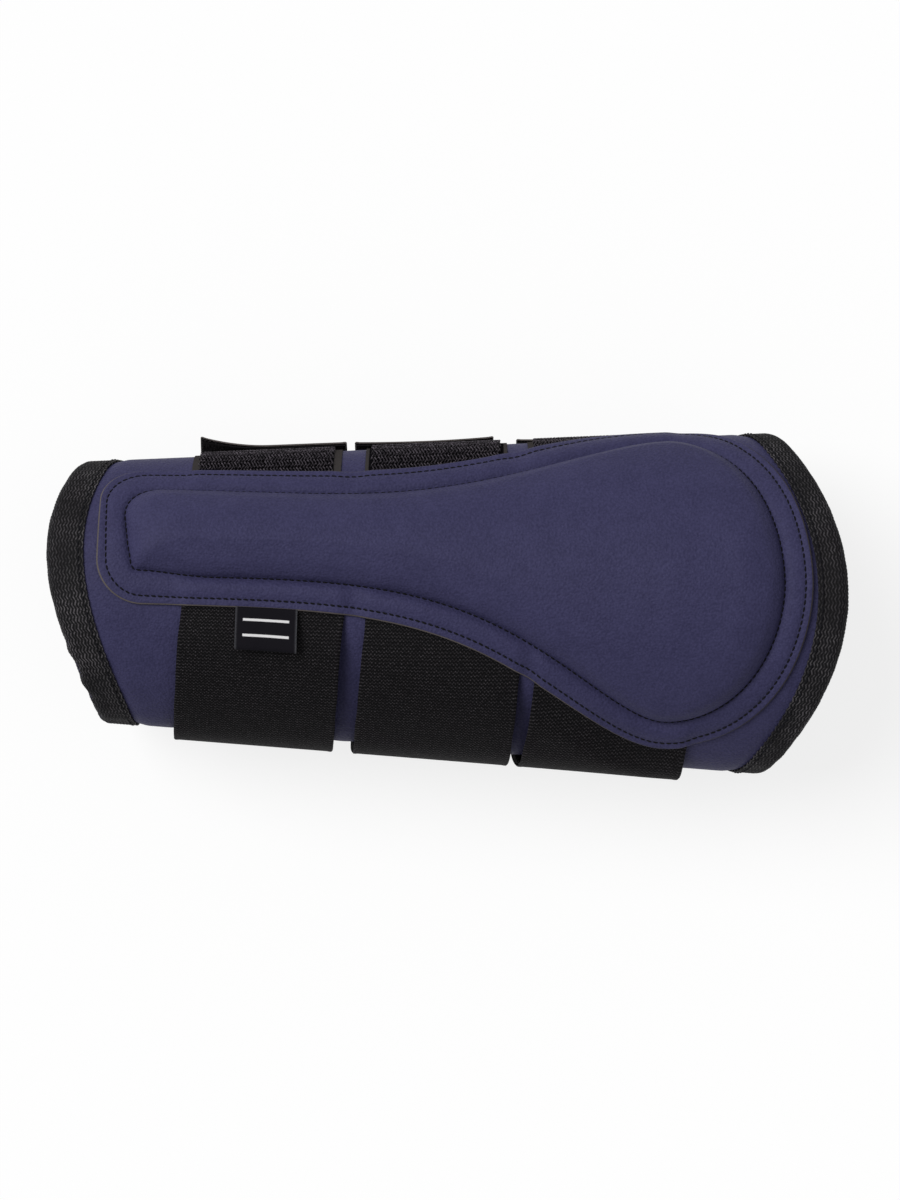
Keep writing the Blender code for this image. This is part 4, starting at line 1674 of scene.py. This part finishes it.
    def cushion(self) -> Piece:
        """The cover over its cushion, with the flange round it."""
        rings = self.flange_rings + self.groove_rings + self.crest_rings
        piece, flat, inset = self.loft("strike_pad_cushion", rings)
        x, girth = flat.T
        Bench.chart(piece, x, girth)
        self.form.lay(piece, x, girth, self.height(x, girth, inset))
        Bench.relax(piece, inset > self.crest_rings[1], self.relax_rounds)
        self.face_out(piece)
        piece.data.materials.append(SKIN.material())
        piece.data.materials.append(CUT_EDGE.material())
        for face in piece.data.polygons:
            face.material_index = int(min(face.vertices) < self.points)
        Bench.thicken(piece, self.cover, rim=1)
        Bench.smooth(piece)
        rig.slot(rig.ride(piece, "front_panel"), "skin")
        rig.padded(piece, fill=0.7)
        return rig.replaces(piece, "strike_pad_cover", "strike_pad_foam")

    def stiffener(self) -> Piece:
        """The moulded board inside the cushion."""
        insets = [self.board_inset + step for step in self.board_rings]
        piece, flat, inset = self.loft("strike_pad_board", insets)
        x, girth = flat.T
        edge = np.maximum(0, 1 - (inset - self.board_inset) / self.board_round)
        Bench.chart(piece, x, girth)
        self.form.lay(piece, x, girth, self.board_height - self.edge_drop * edge**2)
        self.face_out(piece)
        Bench.thicken(piece, self.board_thickness)
        STIFFENER.dress(Bench.smooth(piece))
        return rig.replaces(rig.ride(piece, "front_panel"), "strike_pad_stiffener")

    @staticmethod
    def face_out(piece: Piece) -> None:
        """Turn a sheet's faces upwards."""
        Bench.outward(piece)
        if sum(face.normal.z * face.area for face in piece.data.polygons) < 0:
            with Bench.editing(piece):
                bpy.ops.mesh.flip_normals()

    def stitches(self, name: str, inset: float, lift: float) -> Piece:
        """One row of stitches round the pad."""
        loop = self.ring(inset)
        x, girth = np.concatenate([loop, loop[:1]]).T
        top = self.height(x, girth, np.full_like(x, inset)) + lift
        piece = StitchRow().sew(name, np.stack([x, girth, top], -1), self.form.place)
        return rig.ride(piece, "front_panel")

    def build(self) -> list[Piece]:
        """Make the board, the cushion over it and both rows of stitches."""
        return [
            self.stiffener(),
            self.cushion(),
            self.stitches("strike_pad_edge_stitches", self.edge_stitch, self.edge_thread_lift),
            self.stitches("strike_pad_seam_stitches", self.seam, self.seam_thread_lift),
        ]


@dataclass(frozen=True)
class Strap:
    """One elastic strap, its hook patch and the loop pile on its end."""

    form: BootForm
    plan: StrapPlan
    pad: StrikePad
    carriage: Carriage
    number: int
    sewn: float = 0.0054
    raised: float = 0.0079
    rise_reach: float = 0.012
    stand: float = 0.0011
    peel_angle: float = math.radians(-146)
    loop_angle: float = math.radians(-133)
    tuck: float = 0.0065
    step: float = 0.0012
    columns: int = 44
    crowding: float = 1.35
    start_rounds: int = 6
    selvedge: float = 0.0016
    cord: float = 0.0001
    cord_fade: float = 0.0004
    edge_drop: float = 0.0004
    edge_round: float = 0.0005
    wander: float = 0.00018
    wander_length: float = 0.021
    sealed: float = 0.0020
    seal_press: float = 0.65
    flare_power: float = 1.5
    pile_base: float = 0.0005
    pile_gap: float = 0.0001
    pile_margin: float = 0.0006
    pile_columns: int = 40
    pile_swell: Swell = Swell(0.00012, (0.0043, 0.0037), 31)
    pile_height: float = 0.0007
    pile_pitch: float = 0.0011
    pile_drift: float = 0.35
    pile_growth: tuple[float, float] = (0.5, 1.15)
    loop_rod: tuple[int, int] = (3, 3)
    loop_half: float = 0.0004
    yarn: float = 0.00010
    hook_rod: tuple[int, int] = (6, 5)
    hook_pitch: float = 0.00106
    hook_row: float = 0.0017
    hook_rise: float = 0.0011
    hook_radius: float = 0.00026
    hook_arc: float = math.radians(118)
    hook_slant: float = 0.0010
    hook_foot: float = 1.1
    hook_taper: float = 0.35
    hook_sink: float = 0.0001
    hook_jitter: float = 0.00006
    hook_base: float = 0.0004
    hook_end: float = 0.0063
    hook_under: float = 0.012
    hook_clear: float = 0.0012
    tape_cells: tuple[int, int] = (48, 60)
    seed: int = 40

    @property
    def lay(self) -> StrapLay:
        """How this strap lies."""
        return self.plan.lays[self.number]

    @property
    def centre(self) -> float:
        """Where the strap's middle lies along the boot."""
        return self.plan.centre(self.number)

    @property
    def peel(self) -> float:
        """Girth of the line that the strap's end peels about."""
        return self.form.far_side(self.form.girth_at(self.peel_angle))

    @property
    def leave(self) -> float:
        """Girth where the strap's end leaves the boot."""
        return self.form.far_side(self.form.girth_at(self.lay.leave_angle))

    def base(self, x: np.ndarray, girth: np.ndarray) -> np.ndarray:
        """Height of the strap's inner face, which stands off the skin once clear of the pad."""
        edge = self.pad.edge(self.pad.lower, x)
        clear = girth - edge
        arch = np.clip(clear / (self.form.widest * self.form.middle - edge), 0, 1)
        rise = (self.raised - self.sewn) * ease(clear / self.rise_reach)
        return self.sewn + rise + self.stand * np.sin(math.pi * arch)

    def band(self, name: str, start: Any, end: Any, place: Place) -> Piece:
        """Lay a run of the elastic, its selvedges a little thicker and uneven.

        Args:
            name: the piece's name.
            start: gives the first girth at a place across the strap.
            end: the last girth.
            place: what wraps flat points, their height counted from the strap's outer face.

        Returns:
            The run, with its thickness.
        """
        longest = end - float(np.min(start(np.linspace(-0.5, 0.5, 9) * self.plan.width)))
        piece, share, along = Bench.grid(name, self.columns, round(longest / self.step))
        across = share - 0.5
        crowded = 0.5 - 0.5 * (1 - 2 * np.abs(across)) ** self.crowding
        across = np.sign(across) * crowded * self.plan.width
        first = start(across)
        girth = end + (first - end) * along
        inside = self.plan.width / 2 - np.abs(across)
        cord = self.cord * ease(0.5 - (inside - self.selvedge) / self.cord_fade)
        round_off = self.edge_drop * np.maximum(0, 1 - inside / self.edge_round) ** 2
        taper = ease((girth - self.form.bottom) / (self.peel - self.form.bottom))
        spread = self.lay.spread
        width = spread + (self.lay.end_width / self.plan.width - spread) * taper
        wander = self.wander * ripple(girth, self.wander_length, self.seed + self.number)
        wander = wander * np.abs(2 * across / self.plan.width) ** 4
        Bench.chart(piece, girth, across)
        x = self.centre + across * width + wander
        sealed = ease(1 - (self.leave + self.lay.tab_length - girth) / self.sealed)
        pressed = self.seal_press * self.plan.thickness * sealed
        Bench.move(piece, place(np.stack([x, girth, cord - round_off - pressed], -1)))
        Bench.thicken(piece, self.plan.thickness, thin=sealed)
        ELASTIC.dress(Bench.smooth(piece))
        piece.data.materials.append(CUT_EDGE.material())
        last = np.tile(sealed > 0.999, 2)
        for face in piece.data.polygons:
            face.material_index = int(all(last[index] for index in face.vertices))
        return piece

    def upper(self) -> Piece:
        """The run from under the strike pad, round the side and under the boot."""

        def start(across: np.ndarray) -> np.ndarray:
            """Where the strap's end lies, tucked under the pad."""
            girth = np.zeros_like(across)
            for _ in range(self.start_rounds):
                x = self.centre + across + self.plan.shift(self.number, girth)
                girth = self.pad.edge(self.pad.lower, x)
            return girth - self.tuck

        def place(flat: np.ndarray) -> np.ndarray:
            """Lean the strap and lay it on the boot."""
            x, girth, height = flat.T
            x = x + self.plan.shift(self.number, girth)
            height = height + self.base(x, girth) + self.plan.thickness
            return self.form.place(np.stack([x, girth, height], -1))

        piece = self.band(f"strap_{self.number}_upper", start, self.form.bottom, place)
        self.carriage.across_hinge(piece)
        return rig.replaces(piece, f"strap_{self.number}_anchor")

    def tab_place(self, flat: np.ndarray) -> np.ndarray:
        """Lay points on the boot, and straight on from where the strap's end leaves it."""
        x, girth, height = flat.T
        over = np.maximum(0, girth - self.leave)
        y, z = self.form.section(self.leave)[1]
        side = np.clip(2 * (x - self.centre) / self.lay.end_width, -1, 1)
        free = (over / self.lay.tab_length) ** self.flare_power
        bend = np.where(side < 0, *self.lay.flares) * side**2 * free
        drift = ease((girth - self.form.bottom) / (self.leave - self.form.bottom))
        x = x + self.lay.tab_shift * drift
        points = self.form.place(np.stack([x, np.minimum(girth, self.leave), height], -1))
        return points + np.stack([0 * over, -z * over + y * bend, y * over + z * bend], -1)

    def wrap(self) -> Piece:
        """The run from under the boot up to the strap's end."""

        def start(across: np.ndarray) -> np.ndarray:
            """Where this run meets the upper one."""
            return np.full_like(across, self.form.bottom)

        def place(flat: np.ndarray) -> np.ndarray:
            """Lay the strap's outer face."""
            return self.tab_place(flat + (0, 0, self.raised + self.plan.thickness))

        end = self.leave + self.lay.tab_length
        piece = self.band(f"strap_{self.number}_wrap", start, end, place)
        self.carriage.across(
            piece, f"strap_{self.number}_peel", self.peel, self.carriage.peel_reach
        )
        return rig.replaces(piece, f"strap_{self.number}_run", f"strap_{self.number}_end")

    def pile(self) -> Piece:
        """The loop pile on the inside of the strap's end."""
        start = self.form.far_side(self.form.girth_at(self.loop_angle))
        end = self.leave + self.lay.tab_length - self.pile_margin
        width = self.lay.end_width - 2 * self.pile_margin
        name = f"strap_{self.number}_pile"
        piece, share, along = Bench.grid(name, self.pile_columns, round((end - start) / self.step))
        x = self.centre + (share - 0.5) * width
        girth = start + (end - start) * along
        Bench.chart(piece, girth, x - self.centre)
        low = self.raised - self.pile_base
        height = low + self.pile_swell.at(x, girth)
        Bench.move(piece, self.tab_place(np.stack([x, girth, height], -1)))
        Bench.thicken(piece, self.pile_base - self.pile_gap)
        loops = self.pile_loops(f"{name}_loops", width, start, end, low)
        LOOP_PILE.dress(Bench.smooth(Bench.joined(piece, loops)))
        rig.ride(piece, f"strap_tip_{self.number}")
        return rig.replaces(piece, f"loop_patch_{self.number}")

    def pile_loops(
        self, name: str, width: float, start: float, end: float, low: float
    ) -> Piece:
        """Stand small loops of yarn on the pile's ground.

        Args:
            name: the loops' name.
            width: of the field, along the boot.
            start: first girth of the field.
            end: last girth of the field.
            low: height of the ground, which the loops stand down from.

        Returns:
            The field of loops.
        """
        piece, share, turn = Bench.rod(name, *self.loop_rod)
        arch = (share - 0.5) * math.pi
        points = [
            self.loop_half * np.sin(arch) + self.yarn * np.sin(turn) * np.cos(arch),
            self.yarn * np.cos(turn),
            self.pile_height * np.cos(arch) + self.yarn * np.sin(turn) * np.sin(np.abs(arch)),
        ]
        Bench.move(piece, np.stack(points, -1))
        pitch = self.pile_pitch
        counts = (int(width / pitch), int((end - start) / pitch))
        local, cell, copy = Bench.scatter(piece, (pitch, pitch), counts)
        copies = copy[-1] + 1
        draw = np.random.default_rng(self.seed + self.number)
        spin = draw.uniform(0, 2 * math.pi, copies)[copy]
        drift = draw.normal(0, self.pile_drift * pitch, (copies, 2))[copy]
        grow = draw.uniform(*self.pile_growth, copies)[copy]
        spot = np.clip(cell * pitch + drift, 0, (width - pitch, end - start - pitch)) + pitch / 2
        x = spot[:, 0] + local[:, 0] * np.cos(spin) - local[:, 1] * np.sin(spin)
        girth = spot[:, 1] + local[:, 0] * np.sin(spin) + local[:, 1] * np.cos(spin)
        x = x + self.centre - width / 2
        girth = girth + start
        height = low - local[:, 2] * grow + self.pile_gap
        Bench.chart(piece, girth, x - self.centre)
        Bench.move(piece, self.tab_place(np.stack([x, girth, height], -1)))
        return piece

    def hook_patch(self) -> Piece:
        """Hook tape from under the strike pad's upper edge down to the closure."""
        number = self.number
        width = self.lay.end_width
        last = self.form.girth_at(self.form.closure_angle) + self.hook_end
        piece, share, along = Bench.grid(f"hook_patch_{number}_tape", *self.tape_cells)
        across = (share - 0.5) * width
        x = self.centre + self.lay.hook_shift + across
        edge = self.pad.edge(self.pad.upper, x)
        girth = edge + self.tuck + (last - edge - self.tuck) * along
        top = self.pad.rest_height + self.hook_base
        Bench.chart(piece, girth, across)
        self.form.lay(piece, x, girth, top)
        Bench.thicken(piece, self.hook_base)
        HOOK_TAPE.dress(Bench.smooth(piece))
        hooks = self.hooks(f"hook_patch_{number}_hooks", last, top)
        hooks.data.materials.append(HOOK_PLASTIC.material())
        Bench.joined(piece, hooks)
        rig.ride(piece, "front_panel")
        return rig.replaces(piece, f"hook_patch_{number}")

    def hooks(self, name: str, last: float, top: float) -> Piece:
        """Rows of little hooks, each row leaning the other way from the last.

        Args:
            name: the hooks' name.
            last: the lowest girth that they reach.
            top: height of the tape that they stand on.

        Returns:
            The field of hooks outside the strike pad's edge.
        """
        piece, share, turn = Bench.rod(name, *self.hook_rod)
        arc = share * self.hook_arc
        climb = np.arctan2(self.hook_rise * self.hook_arc * np.cos(arc), self.hook_pitch)
        thick = self.hook_radius * (self.hook_foot - self.hook_taper * share)
        rise = self.hook_rise * np.sin(arc) - self.hook_sink
        points = [
            self.hook_pitch * share - thick * np.cos(turn) * np.sin(climb),
            thick * np.sin(turn),
            rise + thick * np.cos(turn) * np.cos(climb),
        ]
        Bench.move(piece, np.stack(points, -1))
        wide = self.lay.end_width - 2 * HOOK_TAPE.margin
        centre = self.centre + self.lay.hook_shift
        first = float(self.pad.edge(self.pad.upper, centre)) + self.hook_under
        counts = (int(wide / self.hook_pitch), int((first - last) / self.hook_row))
        local, cell, copy = Bench.scatter(piece, (self.hook_pitch, self.hook_row), counts)
        column, row = cell.T
        way = np.where(row % 2, 1, -1)
        draw = np.random.default_rng(self.seed + 7 * self.number)
        jitter = draw.normal(0, self.hook_jitter, (copy[-1] + 1, 2))[copy]
        middle = centre - wide / 2 + (column + 0.5) * self.hook_pitch
        x = middle + way * (local[:, 0] - self.hook_pitch / 2) + jitter[:, 0]
        root = last + (row + 0.5) * self.hook_row
        slant = self.hook_slant * (0.5 - local[:, 0] / self.hook_pitch)
        girth = root + local[:, 1] + slant + jitter[:, 1]
        Bench.chart(piece, girth, x - centre)
        self.form.lay(piece, x, girth, top + local[:, 2])
        Bench.trim(piece, root > self.pad.edge(self.pad.upper, middle) + self.hook_clear)
        Bench.outward(piece)
        return Bench.smooth(piece)

    def build(self) -> list[Piece]:
        """Make the strap and both of its patches."""
        return [self.upper(), self.wrap(), self.pile(), self.hook_patch()]


@dataclass(frozen=True)
class SizeLabel:
    """Satin ribbon folded double and sewn in under the strike pad's lower edge."""

    form: BootForm
    pad: StrikePad
    strap: Strap
    width: float = 0.0195
    length: float = 0.0112
    ply: float = 0.0004
    fold: float = 0.00075
    tuck: float = 0.0020
    base: float = 0.0071
    lift: float = 0.0014
    lift_power: float = 1.3
    opening_share: float = 0.5
    wave: float = 0.00015
    wave_length: float = 0.013
    wave_seed: int = 51
    root: tuple[float, float] = (-0.0004, 0.0024)
    columns: int = 20
    rows: int = 60

    def build(self) -> list[Piece]:
        """Make the folded ribbon."""
        low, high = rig.box("size_label")
        middle = (low.x + high.x) / 2
        piece, share, along = Bench.grid("size_label_ribbon", self.columns, self.rows)
        x = middle + (share - 0.5) * self.width
        upper = self.tuck + self.length - self.fold
        total = 2 * upper + math.pi * self.fold
        run = total * (1 - along)
        turn = np.clip((run - upper) / self.fold, 0, math.pi)
        out = np.minimum(run, upper) - np.maximum(0, run - upper - math.pi * self.fold)
        reach = out - self.tuck + self.fold * np.sin(turn)
        opening = self.fold * ease(out / (self.opening_share * upper))
        free = ease(reach / self.length)
        rise = self.lift * free**self.lift_power
        height = self.base + self.ply + opening * (1 + np.cos(turn)) + rise
        height = height + self.wave * ripple(x, self.wave_length, self.wave_seed) * free
        start = self.pad.edge(self.pad.lower, x)
        height = height + self.strap.base(x, start + reach) - self.strap.sewn
        Bench.chart(piece, run - self.tuck, x - middle)
        self.form.lay(piece, x, start + reach, height)
        Bench.thicken(piece, self.ply)
        LABEL_CLOTH.dress(Bench.smooth(piece))
        edge = float(self.pad.edge(self.pad.lower, middle))
        root = [self.form.spot(middle, edge + reach, self.base) for reach in self.root]
        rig.blend(piece, "front_panel", "label", start=root[0], end=root[1])
        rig.sheet(piece, (self.width, total), "folded", ["strap_1_upper"])
        return [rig.replaces(piece, "size_label")]


@dataclass(frozen=True)
class Studio:
    """A plain pale floor, soft light from above the cannon end, and the camera over the boot."""

    lens: float = 99.8
    eye: tuple[float, float, float] = (0.0022, -0.0007, 1.1145)
    roll: float = math.radians(1.07)
    floor_size: float = 12.0
    floor_tone: Colour = (0.98, 0.98, 0.98, 1)
    floor_white: float = 0.8
    floor_drop: float = 0.0002
    floor_roughness: float = 0.9
    sky: float = 0.36
    sun_power: float = 2.55
    sun_spread: float = math.radians(38)
    sun_from: tuple[float, float, float] = (-0.58, 0.33, 0.80)

    @staticmethod
    def seen(tree: bpy.types.NodeTree) -> bpy.types.NodeSocket:
        """Whether the camera sees a point, straight or in something shiny or clear."""
        path = tree.nodes.new("ShaderNodeLightPath")
        socket = path.outputs["Is Camera Ray"]
        for ray in ("Is Glossy Ray", "Is Transmission Ray"):
            either = tree.nodes.new("ShaderNodeMath")
            either.operation = "MAXIMUM"
            tree.links.new(socket, either.inputs[0])
            tree.links.new(path.outputs[ray], either.inputs[1])
            socket = either.outputs[0]
        return socket

    def floor(self) -> Piece:
        """A floor that takes the boot's shadow and is seen as nearly white."""
        bpy.ops.mesh.primitive_plane_add(size=self.floor_size, location=(0, 0, -self.floor_drop))
        piece = Bench.started("floor")
        board = NodeBoard("pale_floor")
        plain = {"Roughness": self.floor_roughness, "Specular IOR Level": 0.0}
        board.fill(board.shader, {"Base Color": self.floor_tone, **plain})
        share = Value(board, self.seen(board.tree)) * self.floor_white
        glow = board.add("ShaderNodeEmission", None, {"Strength": 1.0})
        cover = Value(board, board.shader.outputs[0])
        mixed = board.add("ShaderNodeMixShader", None, {0: share, 1: cover, 2: glow})
        board.tree.links.new(mixed.socket, board.tree.nodes["Material Output"].inputs["Surface"])
        piece.data.materials.append(board.material)
        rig.stage(piece)
        return piece

    def world(self) -> None:
        """An even pale sky that the camera sees as white."""
        world = bpy.data.worlds.new("studio")
        world.use_nodes = True
        tree = world.node_tree
        back = tree.nodes["Background"]
        back.inputs["Color"].default_value = (1, 1, 1, 1)
        level = tree.nodes.new("ShaderNodeMapRange")
        tree.links.new(self.seen(tree), level.inputs["Value"])
        level.inputs["To Min"].default_value = self.sky
        level.inputs["To Max"].default_value = 1.0
        tree.links.new(level.outputs["Result"], back.inputs["Strength"])
        bpy.context.scene.world = world

    def key_light(self) -> None:
        """One soft lamp, above the cannon end."""
        lamp = bpy.data.lights.new("key", "SUN")
        lamp.energy = self.sun_power
        lamp.angle = self.sun_spread
        holder = bpy.data.objects.new("key", lamp)
        holder.rotation_euler = (-Vector(self.sun_from)).to_track_quat("-Z", "Y").to_euler()
        bpy.context.scene.collection.objects.link(holder)

    def camera(self) -> None:
        """The camera, looking straight down."""
        camera = bpy.data.cameras.new("camera")
        camera.lens = self.lens
        holder = bpy.data.objects.new("camera", camera)
        holder.location = self.eye
        holder.rotation_euler = (0, 0, self.roll)
        bpy.context.scene.collection.objects.link(holder)
        bpy.context.scene.camera = holder

    def build(self) -> None:
        """Set the studio up."""
        self.floor()
        self.world()
        self.key_light()
        self.camera()
        bpy.context.scene.view_settings.view_transform = "Standard"


def report(pieces: Sequence[Piece]) -> None:
    """Log each piece with the number of its faces."""
    for piece in pieces:
        LOG.info("%s: %d faces", piece.name, len(piece.data.polygons))


def main() -> None:
    """Build every piece of the boot and the studio round it."""
    logging.basicConfig(level=logging.INFO, format="%(name)s %(message)s")
    Studio().build()
    form = BootForm()
    lays = {
        1: StrapLay(
            aside=0.0, lean=0.0046, hook_shift=0.0037, tab_shift=0.0047,
            leave_angle=math.radians(-110), tab_length=0.0064, flares=(0.0040, 0.0), end_width=0.0480,
        ),
        2: StrapLay(
            aside=-0.0007, lean=0.0052, hook_shift=0.0009, tab_shift=-0.0032,
            leave_angle=math.radians(-112), tab_length=0.0056, flares=(0.0005, 0.0007),
            end_width=0.0454, spread=0.972,
        ),
        3: StrapLay(
            aside=-0.0002, lean=0.0084, hook_shift=-0.0002, tab_shift=-0.0034,
            leave_angle=math.radians(-125), tab_length=0.0084, flares=(0.0006, 0.0),
        ),
    }
    plan = StrapPlan(form, lays)
    carriage = Carriage(form)
    pad = StrikePad(form, plan)
    report(Shell(form, plan, carriage).build())
    for end in End:
        report(EndBinding(form, carriage, end).build())
    report(ClosureTape(form).build())
    report(pad.build())
    straps = {number: Strap(form, plan, pad, carriage, number) for number in lays}
    for strap in straps.values():
        report(strap.build())
    report(SizeLabel(form, pad, straps[1]).build())
    boxes = {"cad": CAD_BOX, "visual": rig.bounds()}
    with open(SIZE_FILE, "w") as file:
        json.dump({key: [list(corner) for corner in box] for key, box in boxes.items()}, file)


if __name__ == "__main__":
    main()
